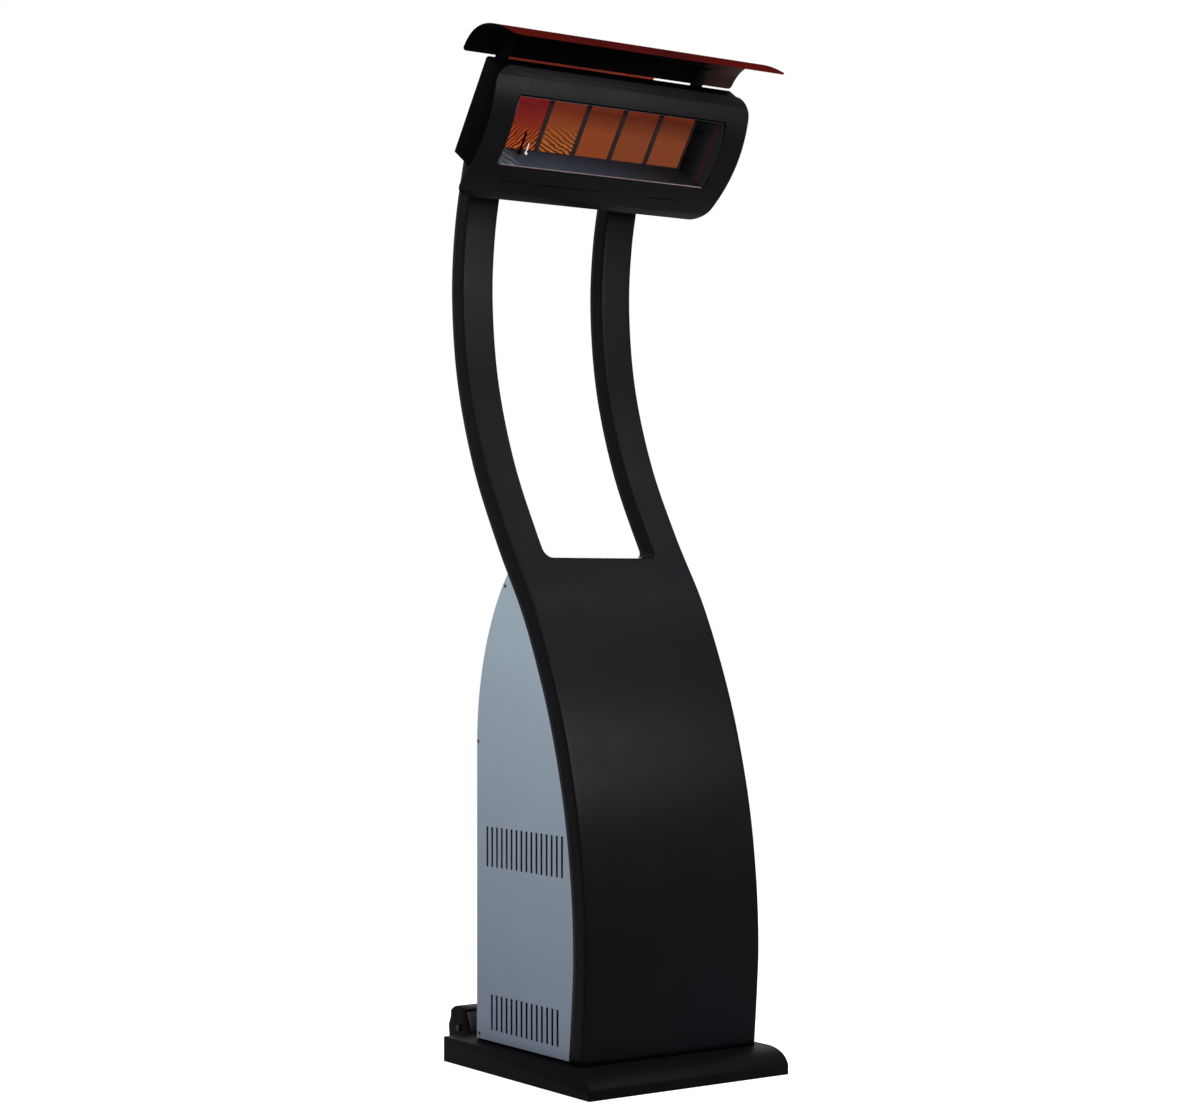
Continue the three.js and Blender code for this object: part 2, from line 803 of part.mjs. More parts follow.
function controlKnob() {
  const face = controlFace + seat;
  const place = [knobAcross, controlMiddle];
  const skirt = rod('y', knobRadius, face, face + knobSkirt, place, largeRound);
  const body = rod('y', knobBodyRadius, face, face + knobBodyLength, place, largeRound);
  const grip = block(
    [knobAcross - knobGrip / 2, knobAcross + knobGrip / 2],
    [face, face + knobLength],
    [controlMiddle - knobGripReach, controlMiddle + knobGripReach],
  );
  const spindle = rod('y', spindleRadius, face - spindleLength, face + bite, place);
  return fuse(skirt, body, grip, spindle);
}

function ignitionButton() {
  const place = [buttonAcross, controlMiddle];
  const outer = controlFace + buttonProud + buttonStroke;
  const cap = rod('y', buttonRadius, outer - buttonLength, outer, place);
  const collarEnd = controlFace - controlWall - running;
  const collar = rod('y', buttonCollar, outer - buttonLength, collarEnd, place);
  return fuse(cap, collar);
}

const valveBack = controlFace + seat - spindleLength - running;
const valveTop = controlMiddle + valveHeight / 2 + valveOutletRise;

function gasValve() {
  const half = valveWidth / 2;
  const body = block(
    [knobAcross - half, knobAcross + half],
    [valveBack - valveDepth, valveBack],
    [controlMiddle - valveHeight / 2, controlMiddle + valveHeight / 2],
  );
  const front = controlFace - controlWall - seat;
  const boss = cut(
    rod('y', valveBoss, valveBack - bite, front, [knobAcross, controlMiddle]),
    rod('y', spindleRadius + running, valveBack, reach, [knobAcross, controlMiddle]),
  );
  const port = [knobAcross, valveBack - valveDepth / 2];
  const inlet = rod('z', valveInlet, controlFoot - valveInletDrop, controlMiddle, port);
  const outlet = rod('z', valveOutlet, controlMiddle, valveTop, port, hexagon);
  return fuse(body, boss, inlet, outlet);
}

function cabinetTray() {
  const half = panelInner - seat;
  const back = rearEdge - panelWall - seat;
  const foot = baseTop + seat;
  const outside = block([-half, half], [trayFront, back], [foot, foot + trayRim]);
  const inside = block([trayWall - half, half - trayWall], [0, back - trayWall], [foot + trayWall, reach]);
  const sill = block([-half, half], [back - trayWall, back], [foot, doorFoot + sillLap]);
  const disc = (inset, low, high) => (
    rod('z', ringRadius - ringWall - seatGap - inset, low, high, [0, ringDepth], largeRound)
  );
  const raised = disc(0, foot + trayWall / 2, foot + trayWall + seatRise);
  const pressed = disc(trayWall, foot - bite, foot + seatRise);
  return cut(fuse(cut(outside, inside), sill, raised), pressed);
}

function cylinderRing() {
  const foot = baseTop + 2 * seat + trayWall;
  const place = [0, ringDepth];
  return cut(
    rod('z', ringRadius, foot, foot + ringHeight, place, largeRound),
    rod('z', ringRadius - ringWall, foot - bite, foot + ringHeight + bite, place, largeRound),
  );
}

/** The pipe from the valve up the right arm, over the beam and to the tilt axis. */
function gasTube() {
  const middle = behindFront(frameDepth / 2);
  const port = [knobAcross, valveBack - valveDepth / 2];
  const inArm = [];
  for (let height = sillHeight; height <= tubeTop; height += tubeStep) {
    inArm.push([tubeAcross, depthAt(middle, height), height]);
  }
  const bendRadius = 4 * tubeRadius;
  const [axisDepth, axisHeight] = pivot;
  const points = [
    [...port, valveTop + seat], [...port, valveTop + seat + tubeRise], ...tubeBends, ...inArm,
    [tubeAcross - tubeRadius, beamMiddle[0], tubeCross - bendRadius],
    [tubeAcross - bendRadius, beamMiddle[0], tubeCross],
    [windowEdge, beamMiddle[0], tubeCross], [swivelAcross + 3 * bendRadius, beamMiddle[0], tubeCross],
    [swivelAcross + 2 * bendRadius, beamFront, (tubeCross + axisHeight) / 2],
    [swivelAcross + 1.5 * bendRadius, axisDepth + bendRadius, axisHeight - tubeRadius],
    [swivelAcross + bendRadius, axisDepth, axisHeight], [swivelAcross, axisDepth, axisHeight],
  ];
  return tube(points, tubeRadius, tubeSides, tubeSteps);
}

function cabinetGroup() {
  const group = new THREE.Group();
  group.add(piece('front_frame', frontFrame(), blackCoat));
  for (const [side, sign] of sides) {
    group.add(piece(`arm_cover_${side}`, armCover(sign), blackCoat));
    group.add(piece(`side_panel_${side}`, sidePanel(sign), greyCoat));
    group.add(...sideScrews(side, sign));
  }
  group.add(piece('rear_door', rearDoor(), greyCoat));
  group.add(piece('door_hinge_lower', doorHinge(hingeHeights[0]), darkSteel));
  group.add(piece('door_hinge_upper', doorHinge(hingeHeights[1]), darkSteel));
  group.add(piece('door_handle', doorHandle(), knobPlastic));
  group.add(piece('door_catch', doorCatch(), knobPlastic));
  group.add(piece('rear_cover', rearCover(), greyCoat));
  group.add(piece('control_panel', controlPanel(), blackCoat));
  group.add(piece('control_knob', controlKnob(), knobPlastic));
  group.add(piece('ignition_button', ignitionButton(), knobPlastic));
  group.add(piece('gas_valve', gasValve(), brass));
  group.add(piece('cabinet_tray', cabinetTray(), blackCoat));
  group.add(piece('cylinder_ring', cylinderRing(), blackCoat));
  group.add(piece('gas_tube', gasTube(), steel));
  return group;
}

// ---------------------------------------------------------------- head support

function crossBeam() {
  const half = windowEdge - seat;
  const depth = [beamMiddle[0] - beamDepth / 2, beamMiddle[0] + beamDepth / 2];
  const height = [beamMiddle[1] - beamHeight / 2, beamMiddle[1] + beamHeight / 2];
  const inset = ([low, high]) => [low + beamWall, high - beamWall];
  return cut(block([-half, half], depth, height), block([-reach, reach], inset(depth), inset(height)));
}

function tiltBracket(sign) {
  const foot = beamFront - seat;
  const low = beamMiddle[1] - beamHeight / 2;
  const high = beamTop;
  const inner = bracketAcross - bracketPlate / 2;
  const outer = bracketAcross + bracketPlate / 2;
  const arm = acrossPrism([
    [foot, low], [foot, high], [pivot[0], pivot[1] + bracketEye], [pivot[0], pivot[1] - bracketEye],
  ], inner, outer);
  const eye = rod('x', bracketEye, inner, outer, pivot);
  const flange = block([inner, outer + beamHeight / 2], [foot - bracketPlate, foot], [low, high]);
  const whole = cut(fuse(arm, eye, flange), rod('x', boltRadius + seat, 0, reach, pivot));
  return sign < 0 ? mirrored(whole) : whole;
}

function tiltKnob(sign) {
  const face = bracketAcross + bracketPlate / 2 + seat;
  const bracketInner = bracketAcross - bracketPlate / 2;
  const lugInner = bracketInner - lugGap - bracketPlate;
  const bolt = rod('x', boltRadius, lugInner - seat - nutLength, face + boltHead, pivot);
  const nut = rod('x', nutRadius, lugInner - seat - nutLength, lugInner - seat, pivot, hexagon);
  const collar = rod('x', tiltCollar, face, face + boltHead, pivot);
  const lobes = [];
  for (let i = 0; i < tiltKnobLobes; i += 1) {
    const angle = (2 * Math.PI * i) / tiltKnobLobes;
    const place = [
      pivot[0] + tiltLobeCircle * Math.cos(angle), pivot[1] + tiltLobeCircle * Math.sin(angle),
    ];
    lobes.push(rod('x', tiltLobeRadius, face + boltHead - bite, face + tiltKnobLength, place, smallRound));
  }
  const core = rod('x', tiltCoreRadius, face + boltHead - bite, face + tiltKnobLength, pivot);
  const whole = fuse(bolt, nut, collar, core, ...lobes);
  return sign < 0 ? mirrored(whole) : whole;
}

function supportGroup() {
  const group = new THREE.Group();
  group.add(piece('cross_beam', crossBeam(), blackCoat));
  for (const [side, sign] of sides) {
    group.add(piece(`tilt_bracket_${side}`, tiltBracket(sign), blackCoat));
    group.add(piece(`tilt_knob_${side}`, tiltKnob(sign), knobPlastic));
  }
  return group;
}

// ---------------------------------------------------------------- head

/** Everything behind the fascia's rear face, less a gap, drawn out across the head. */
function behindFascia(gap, half, rear) {
  const back = beside(fasciaLine, fasciaWall + gap);
  const top = [rear, back[0][1] + reach];
  const foot = [rear, back[fasciaSteps][1] - reach];
  const line = [[back[0][0], top[1]], ...back, [back[fasciaSteps][0], foot[1]]];
  return acrossPrism([top, ...line, foot], -half, half);
}

function headYoke() {
  const outer = bracketAcross - bracketPlate / 2 - lugGap;
  const inner = outer - bracketPlate;
  const root = housingRear + seat;
  const outline = [[root, -lugRoot], [0, -lugEye], [0, lugEye], [root, lugRoot]];
  const ear = fuse(acrossPrism(outline, inner, outer), rod('x', lugEye, inner, outer, [0, 0]));
  const strap = block([-outer, outer], [root, root + yokeWall], [-lugRoot, lugRoot]);
  return cut(fuse(strap, ear, mirrored(ear)), rod('x', boltRadius + seat, -reach, reach, [0, 0]));
}

function headHousing() {
  const outline = [
    [housingRear, housingFoot], [housingRear, housingTop - housingChamfer],
    [housingRear - housingChamfer, housingTop], [-reach, housingTop], [-reach, housingFoot],
  ];
  const wall = housingWall;
  const hollow = [
    [housingRear - wall, housingFoot + wall], [housingRear - wall, housingTop - housingChamfer],
    [housingRear - housingChamfer - wall, housingTop - wall], [-reach - bite, housingTop - wall],
    [-reach - bite, housingFoot + wall],
  ];
  const shell = cut(
    acrossPrism(outline, -housingSide, housingSide),
    acrossPrism(hollow, wall - housingSide, housingSide - wall),
  );
  const fitted = shell.intersect(behindFascia(seat, housingSide + bite, reach));
  const inletHole = rod(
    'y', inletRadius + inletHoleGap, housingRear - wall - bite, housingRear + bite,
    [injectorMiddle, mixerPlace[1]],
  );
  return cut(fitted, inletHole);
}

function fascia() {
  const sheet = acrossPrism(band(fasciaLine, 0, fasciaWall), -fasciaSide, fasciaSide);
  const foot = fasciaFoot[1];
  const rounded = depthPrism(
    roundedBox(-fasciaSide, fasciaSide, foot - bite, fasciaTop[1] + bite, fasciaCorner), -reach, reach,
  );
  const window = depthPrism(
    roundedBox(-windowSide, windowSide, windowFoot, windowTop, windowCorner), -reach, reach,
  );
  const slots = louvres.map(([left, right]) => (
    block([left, right], [-reach, reach], [louvreHeight - louvreTall / 2, louvreHeight + louvreTall / 2])
  ));
  return cut(sheet.intersect(rounded), window, ...slots);
}

const tilePitch = tileWidth + tileGap;
const tileSpan = (tileCount - 1) * tilePitch + tileWidth;
const plenumSide = tileSpan / 2 + plenumBorder;
const plenumTop = tileMiddle + tileHeight / 2 + seat + plenumWall;
const plenumFoot = tileMiddle - tileHeight / 2 - seat - plenumWall;
const plenumRear = housingRear - housingWall - seat;

function burnerPlenum() {
  const shell = cut(
    block([-plenumSide, plenumSide], [tileFace, plenumRear], [plenumFoot, plenumTop]),
    block(
      [plenumWall - plenumSide, plenumSide - plenumWall],
      [tileFace - bite, plenumRear - plenumWall],
      [plenumFoot + plenumWall, plenumTop - plenumWall],
    ),
  );
  const portEnds = [plenumFoot - bite, plenumFoot + plenumWall + bite];
  return cut(shell, rod('z', mixerRadius - mixerWall, ...portEnds, mixerPort()));
}

function mixerPort() {
  return [mixerEnd + mixerRadius, mixerPlace[0]];
}

function tiles() {
  const first = (tileWidth - tileSpan) / 2;
  const list = [];
  for (let i = 0; i < tileCount; i += 1) {
    const middle = first + i * tilePitch;
    const body = block(
      [middle - tileWidth / 2, middle + tileWidth / 2],
      [tileFace, tileFace + tileThick],
      [tileMiddle - tileHeight / 2, tileMiddle + tileHeight / 2],
    );
    list.push(piece(`tile_${i + 1}`, body, ceramic));
  }
  return list;
}

function tileFrame() {
  const front = tileFace - seat;
  const plate = block([-plenumSide, plenumSide], [front - tileFrameWall, front], [plenumFoot, plenumTop]);
  const first = (tileWidth - tileSpan) / 2;
  const windows = [];
  for (let i = 0; i < tileCount; i += 1) {
    const middle = first + i * tilePitch;
    const half = (tilePitch - tileBar) / 2;
    windows.push(block(
      [middle - half, middle + half],
      [front - reach, front + bite],
      [tileMiddle - tileHeight / 2 + tileLip, tileMiddle + tileHeight / 2 - tileLip],
    ));
  }
  return cut(plate, ...windows);
}

const funnelRear = tileFace - 2 * seat - tileFrameWall; // depth of the reflector's rear edge
const funnelSmall = {
  side: plenumSide - reflectorRear, low: plenumFoot + reflectorRear, high: plenumTop - reflectorRear,
};
const funnelLarge = {
  side: windowSide - reflectorFront, low: windowFoot + reflectorFront, high: windowTop - reflectorFront,
};

/** The funnel's half width, foot or top at a depth. */
function funnelAt(key, depth) {
  const share = (depth - funnelRear) / (-windowDepth - funnelRear);
  return funnelSmall[key] + (funnelLarge[key] - funnelSmall[key]) * share;
}

/** A four-sided funnel between a small upright rectangle at the back and a large one in front. */
function funnel(grow) {
  const corners = [funnelRear, funnelRear - reflectorLength].flatMap((depth) => {
    const side = funnelAt('side', depth) + grow;
    const low = funnelAt('low', depth) - grow;
    const high = funnelAt('high', depth) + grow;
    return [[-side, depth, low], [side, depth, low], [side, depth, high], [-side, depth, high]];
  });
  const faces = [
    0, 2, 1, 0, 3, 2, 4, 5, 6, 4, 6, 7, 0, 1, 5, 0, 5, 4, 1, 2, 6, 1, 6, 5,
    2, 3, 7, 2, 7, 6, 3, 0, 4, 3, 4, 7,
  ];
  const geometry = new THREE.BufferGeometry();
  geometry.setAttribute('position', new THREE.Float32BufferAttribute(corners.flat(), 3));
  geometry.setIndex(faces);
  return toSolid(geometry);
}

function reflector() {
  const passage = block(
    [-funnelSmall.side, funnelSmall.side],
    [funnelRear - bite, funnelRear + bite],
    [funnelSmall.low, funnelSmall.high],
  );
  const shell = cut(funnel(reflectorWall), funnel(0), passage);
  return shell.intersect(behindFascia(seat, housingSide, reach));
}

function mixerTube() {
  const height = mixerPlace[1];
  const port = mixerPort();
  const riseEnd = plenumFoot - seat;
  const outer = fuse(
    rod('x', mixerRadius, mixerEnd, mixerStart, mixerPlace),
    rod('z', mixerRadius, height, riseEnd, port),
  );
  const bore = mixerRadius - mixerWall;
  const inner = fuse(
    rod('x', bore, mixerEnd + mixerWall, mixerStart + bite, mixerPlace),
    rod('z', bore, height, riseEnd + bite, port),
  );
  return cut(outer, inner);
}

/** The head's own pipe, from the tilt axis into the mixer, ending in its injector. */
function gasInlet() {
  const [y, z] = mixerPlace;
  const start = mixerStart + seat;
  const pipe = tube([
    [swivelAcross - seat, 0, 0], ...inletBends,
    [injectorMiddle, inletTurn, z], [injectorMiddle, housingRear, z], [injectorMiddle, y, z],
  ], inletRadius, tubeSides, inletSteps);
  return fuse(
    pipe,
    rod('x', injectorRadius, start, start + injectorLength, mixerPlace),
    rod('x', nozzleRadius, start - nozzleLength, start + bite, mixerPlace, smallRound),
  );
}

/** A rod standing in front of the first tile, with its ceramic base. */
function frontRod(across, radius, top) {
  return fuse(
    rod('z', rodBase, rodFoot() + seat, rodBaseTop, [across, rodDepth], smallRound),
    rod('z', radius, rodBaseTop - bite, top, [across, rodDepth], smallRound),
  );
}

/** Height of the reflector's lower wall where the rods stand. */
function rodFoot() {
  return funnelAt('low', rodDepth + rodBase);
}

function hood() {
  const sheet = acrossPrism(band(hoodLine, 0, -hoodWall), -hoodSide, hoodSide);
  const depths = [hoodLip[0], hoodRear[0] + bite];
  const topView = upPrism(
    roundedBox(-hoodSide, hoodSide, depths[0], depths[1] + hoodCorner * 2, hoodCorner), -reach, reach,
  );
  const rearView = depthPrism(
    roundedBox(-hoodSide, hoodSide, hoodRear[1] - bite / 2, reach, hoodCorner / 2), -reach, reach,
  );
  return sheet.intersect(topView).intersect(rearView);
}

function hoodPost(sign) {
  const left = postAcross - postWidth / 2;
  const right = postAcross + postWidth / 2;
  const start = housingRear + seat;
  const kept = Math.round(hoodSteps * hoodStart) + 1;
  const outerLine = beside(hoodLine, seat).slice(0, kept);
  const innerLine = beside(hoodLine, seat + postWall).slice(0, kept);
  const upright = acrossPrism([...outerLine, ...innerLine.reverse()], left, right);
  const inner = beside(hoodLine, seat + postWall)[0];
  const web = block([left, right], [start, inner[0] + postWall], [postWeb, postWeb + postWall]);
  const neck = block([left, right], [inner[0], inner[0] + postWall], [postWeb, hoodRear[1] + bite]);
  const foot = block([left, right], [start, start + postWall], [postFoot, postWeb + postWall]);
  const cap = block([left, right], [-reach, reach], [0, postTop]);
  const whole = fuse(upright, web, neck, foot).intersect(cap);
  return sign < 0 ? mirrored(whole) : whole;
}

function flueBaffle() {
  const start = housingRear + seat;
  const span = [baffleStart, baffleStart + baffleLength];
  return fuse(
    block(span, [start, start + baffleWall], [baffleFoot, baffleWeb + baffleWall]),
    block(span, [start, baffleDepth], [baffleWeb, baffleWeb + baffleWall]),
    block(span, [baffleDepth - baffleWall, baffleDepth], [baffleWeb, baffleTop]),
  );
}

function headGroup() {
  const group = new THREE.Group();
  group.add(piece('head_housing', headHousing(), blackCoat));
  group.add(piece('head_yoke', headYoke(), blackCoat));
  group.add(piece('fascia', fascia(), blackCoat));
  group.add(piece('reflector', reflector(), darkSteel));
  group.add(piece('tile_frame', tileFrame(), darkSteel));
  group.add(...tiles());
  group.add(piece('burner_plenum', burnerPlenum(), darkSteel));
  group.add(piece('mixer_tube', mixerTube(), steel));
  group.add(piece('gas_inlet', gasInlet(), steel));
  group.add(piece('flame_sensor', frontRod(sensorAcross, sensorRadius, sensorTop), darkSteel));
  group.add(piece('igniter', frontRod(igniterAcross, igniterRadius, igniterTop), whiteCeramic));
  group.add(piece('hood', hood(), hoodCoat));
  group.add(piece('hood_post_left', hoodPost(-1), blackCoat));
  group.add(piece('hood_post_right', hoodPost(1), blackCoat));
  group.add(piece('flue_baffle', flueBaffle(), heatTint));
  group.position.set(0, pivot[0], pivot[1]);
  group.rotation.x = THREE.MathUtils.degToRad(tiltDegrees);
  return group;
}

// ---------------------------------------------------------------- the whole heater

const heater = new THREE.Group();
const overallDepth = wheelDepth + wheelRadius;
heater.add(baseGroup(), cabinetGroup(), supportGroup(), headGroup());
heater.position.y = -overallDepth / 2;

export default heater;
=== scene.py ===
"""Infrared patio heater tower: the looks of every piece, around the heater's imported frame.

Lengths are in metres and +Z is up. X runs across the front and Y from the front to the back.
Depths are given from the base's front edge, and the head's own sizes from its tilt axis.
"""

import json
import logging
import math
from bisect import bisect_left
from collections.abc import Callable, Iterable, Sequence
from dataclasses import dataclass, field
from enum import Enum

import bmesh
import bpy
from mathutils import Matrix, Vector

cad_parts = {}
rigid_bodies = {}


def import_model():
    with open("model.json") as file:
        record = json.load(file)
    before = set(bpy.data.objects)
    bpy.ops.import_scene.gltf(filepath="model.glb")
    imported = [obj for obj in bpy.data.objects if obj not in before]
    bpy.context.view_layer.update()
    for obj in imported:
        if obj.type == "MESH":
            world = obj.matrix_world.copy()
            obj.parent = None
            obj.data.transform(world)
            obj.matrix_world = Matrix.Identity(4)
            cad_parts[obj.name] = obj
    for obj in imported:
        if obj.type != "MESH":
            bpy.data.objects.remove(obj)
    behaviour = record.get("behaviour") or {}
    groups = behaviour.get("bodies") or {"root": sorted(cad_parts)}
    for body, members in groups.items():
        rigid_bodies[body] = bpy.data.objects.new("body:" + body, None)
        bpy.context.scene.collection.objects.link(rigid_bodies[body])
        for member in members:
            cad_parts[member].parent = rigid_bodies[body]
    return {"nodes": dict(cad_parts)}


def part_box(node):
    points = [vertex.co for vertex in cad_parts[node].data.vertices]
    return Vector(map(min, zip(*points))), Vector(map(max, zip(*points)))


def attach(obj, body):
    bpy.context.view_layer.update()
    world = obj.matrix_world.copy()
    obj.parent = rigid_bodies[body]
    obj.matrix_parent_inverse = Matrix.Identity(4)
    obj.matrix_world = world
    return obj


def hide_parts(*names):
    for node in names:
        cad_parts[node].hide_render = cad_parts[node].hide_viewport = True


Point = tuple[float, float]
Colour = tuple[float, float, float]
Place = Callable[[float, float, float], Vector]
Mesh = bmesh.types.BMesh
Socket = bpy.types.NodeSocket
Material = bpy.types.Material

MM = 0.001
SEAT = 0.3 * MM
SIDES = (("left", -1), ("right", 1))

log = logging.getLogger("heater")
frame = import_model()


# ---------------------------------------------------------------- named options


class Slot(Enum):
    """The record's material slots."""

    BLACK_COAT = "black_coat"
    BASE_COAT = "base_coat"
    GREY_COAT = "grey_coat"
    HOOD_COAT = "hood_coat"
    BALLAST_IRON = "ballast_iron"
    FOOT_RUBBER = "foot_rubber"
    WHEEL_RUBBER = "wheel_rubber"
    ZINC_STEEL = "zinc_steel"
    DARK_STEEL = "dark_steel"
    REFLECTOR_STEEL = "reflector_steel"
    HEAT_TINTED_STEEL = "heat_tinted_steel"
    BRASS = "brass"
    BLACK_PLASTIC = "black_plastic"
    BURNER_CERAMIC = "burner_ceramic"
    WHITE_CERAMIC = "white_ceramic"


class Axis(Enum):
    """The direction that a turned piece's own axis points in."""

    X = Matrix.Rotation(math.pi / 2, 4, "Y")
    MINUS_X = Matrix.Rotation(-math.pi / 2, 4, "Y")
    Y = Matrix.Rotation(-math.pi / 2, 4, "X")
    Z = Matrix.Identity(4)


def srgb(*levels: int) -> Colour:
    """A colour as it looks on a screen, from 0 to 255, as the light that it sends."""
    shares = [level / 255 for level in levels]
    return tuple(s / 12.92 if s <= 0.04045 else ((s + 0.055) / 1.055) ** 2.4 for s in shares)


# ---------------------------------------------------------------- finishes


class Nodes:
    """A tree of nodes, with short calls that add and join them."""

    def __init__(self, tree: bpy.types.NodeTree) -> None:
        """Takes the tree of a material or of the world."""
        self.tree = tree

    def add(self, kind: str, inputs: dict | None = None, **settings: object) -> bpy.types.Node:
        """Adds a node.

        Args:
            kind: Blender's name of the node's type.
            inputs: Values or sockets for the node's inputs.
            **settings: The node's own settings.

        Returns:
            The new node.
        """
        node = self.tree.nodes.new(kind)
        for name, value in settings.items():
            setattr(node, name, value)
        for name, value in (inputs or {}).items():
            self.feed(node.inputs[name], value)
        return node

    def feed(self, socket: Socket, value: object) -> None:
        """Joins a socket to another one, or sets its value.

        Args:
            socket: The socket.
            value: The other socket, or the value.
        """
        if isinstance(value, Socket):
            self.tree.links.new(value, socket)
        else:
            socket.default_value = value

    def math(self, operation: str, *values: object) -> Socket:
        """A sum of numbers, of the kind that the operation names."""
        return self.add("ShaderNodeMath", dict(enumerate(values)), operation=operation).outputs[0]

    def ranged(self, value: Socket, start: float, end: float, low: float = 0.0, high: float = 1.0) -> Socket:
        """A number that goes from low to high as the value goes from start to end."""
        inputs = {"Value": value, "From Min": start, "From Max": end, "To Min": low, "To Max": high}
        return self.add("ShaderNodeMapRange", inputs).outputs["Result"]

    def seen(self) -> Socket:
        """Tells what the camera sees, also in metal and through glass.

        Returns:
            1 for what it sees, and else 0.
        """
        rays = self.add("ShaderNodeLightPath").outputs
        seen = self.math("MAXIMUM", rays["Is Camera Ray"], rays["Is Glossy Ray"])
        return self.math("MAXIMUM", seen, rays["Is Transmission Ray"])


class Board(Nodes):
    """The nodes of one material."""

    def __init__(self, name: str, home: Matrix | None = None) -> None:
        """Starts a material.

        Args:
            name: The material's name.
            home: The frame in which its places are given, if it isn't the heater's.
        """
        self.material = bpy.data.materials.new(name)
        self.material.use_nodes = True
        super().__init__(self.material.node_tree)
        self.shader = self.tree.nodes["Principled BSDF"]
        self.place = self.add("ShaderNodeTexCoord").outputs["Object"]
        if home is not None:
            back = home.inverted()
            self.place = self.mapped(Location=back.translation, Rotation=back.to_euler())

    def set(self, **inputs: object) -> None:
        """Sets the shader's inputs, whose names are written with _ for a space."""
        for name, value in inputs.items():
            value = (*value, 1.0) if isinstance(value, tuple) else value
            self.feed(self.shader.inputs[name.replace("_", " ")], value)

    def mapped(self, **change: object) -> Socket:
        """The surface's place, moved, turned or stretched."""
        return self.add("ShaderNodeMapping", {"Vector": self.place, **change}).outputs["Vector"]

    def along(self, axis: str, start: float, end: float) -> Socket:
        """How far a place lies along an axis, from 0 at the start to 1 at the end."""
        place = self.add("ShaderNodeSeparateXYZ", {"Vector": self.place}).outputs[axis]
        return self.ranged(place, start, end)

    def noise(self, size: float, detail: float = 3.0, stretch: Colour = (1, 1, 1)) -> Socket:
        """Clouds of that size, with that many finer layers, stretched along each axis."""
        inputs = {"Vector": self.mapped(Scale=stretch), "Scale": 1 / size, "Detail": detail}
        return self.add("ShaderNodeTexNoise", inputs).outputs["Fac"]

    def cells(self, size: float, randomness: float = 1.0) -> Socket:
        """The distance from the middle of the nearest cell, for cells of that size."""
        inputs = {"Vector": self.place, "Scale": 1 / size, "Randomness": randomness}
        return self.add("ShaderNodeTexVoronoi", inputs).outputs["Distance"]

    def waves(self, bands: str, scale: float, distortion: float, fine: float, **change: object) -> Socket:
        """Wavy stripes.

        Args:
            bands: The direction that they follow each other in.
            scale: How close they lie.
            distortion: How wavy they are.
            fine: How close their finer waves lie.
            **change: How the surface's place is moved, turned or stretched first.

        Returns:
            The strength from 0 to 1.
        """
        inputs = {"Vector": self.mapped(**change), "Scale": scale, "Distortion": distortion}
        inputs |= {"Detail": 3.0, "Detail Scale": fine}
        return self.add("ShaderNodeTexWave", inputs, bands_direction=bands).outputs["Fac"]

    def product(self, first: Socket, *others: Socket) -> Socket:
        """The numbers multiplied."""
        for other in others:
            first = self.math("MULTIPLY", first, other)
        return first

    def between(self, strength: Socket, low: float, high: float) -> Socket:
        """A number that goes from low to high as the strength goes from 0.3 to 0.7."""
        return self.ranged(strength, 0.3, 0.7, low, high)

    def ramp(self, strength: Socket, *stops: tuple[float, Colour]) -> Socket:
        """Colours laid along a strength.

        Args:
            strength: From 0 to 1.
            *stops: Each place and its colour.

        Returns:
            The colour.
        """
        node = self.add("ShaderNodeValToRGB", {"Fac": strength})
        elements = node.color_ramp.elements
        for _ in stops[2:]:
            elements.new(0.5)
        for element, (place, colour) in zip(elements, stops):
            element.position, element.color = place, (*colour, 1)
        return node.outputs["Color"]

    def mix(self, share: Socket, first: object, second: object) -> Socket:
        """A colour between two others.

        Args:
            share: 0 for the first one, 1 for the second one.
            first: A colour, or the socket that gives it.
            second: The same.

        Returns:
            The colour.
        """
        node = self.add("ShaderNodeMix", data_type="RGBA")
        sockets = {s.identifier: s for s in (*node.inputs, *node.outputs)}
        for name, value in (("Factor_Float", share), ("A_Color", first), ("B_Color", second)):
            self.feed(sockets[name], (*value, 1.0) if isinstance(value, tuple) else value)
        return sockets["Result_Color"]

    def bump(self, height: Socket, depth: float) -> None:
        """Lets the height roughen the surface by that depth."""
        inputs = {"Height": height, "Distance": depth, "Strength": 1.0}
        self.set(Normal=self.add("ShaderNodeBump", inputs).outputs["Normal"])


@dataclass(frozen=True)
class Clouds:
    """Clouds or cells: their size, their finer layers and their stretch along each axis."""

    size: float
    detail: float = 3.0
    stretch: Colour = (1, 1, 1)
    cells: bool = False

    def on(self, board: Board) -> Socket:
        """Their strength."""
        return board.cells(self.size) if self.cells else board.noise(self.size, self.detail, self.stretch)


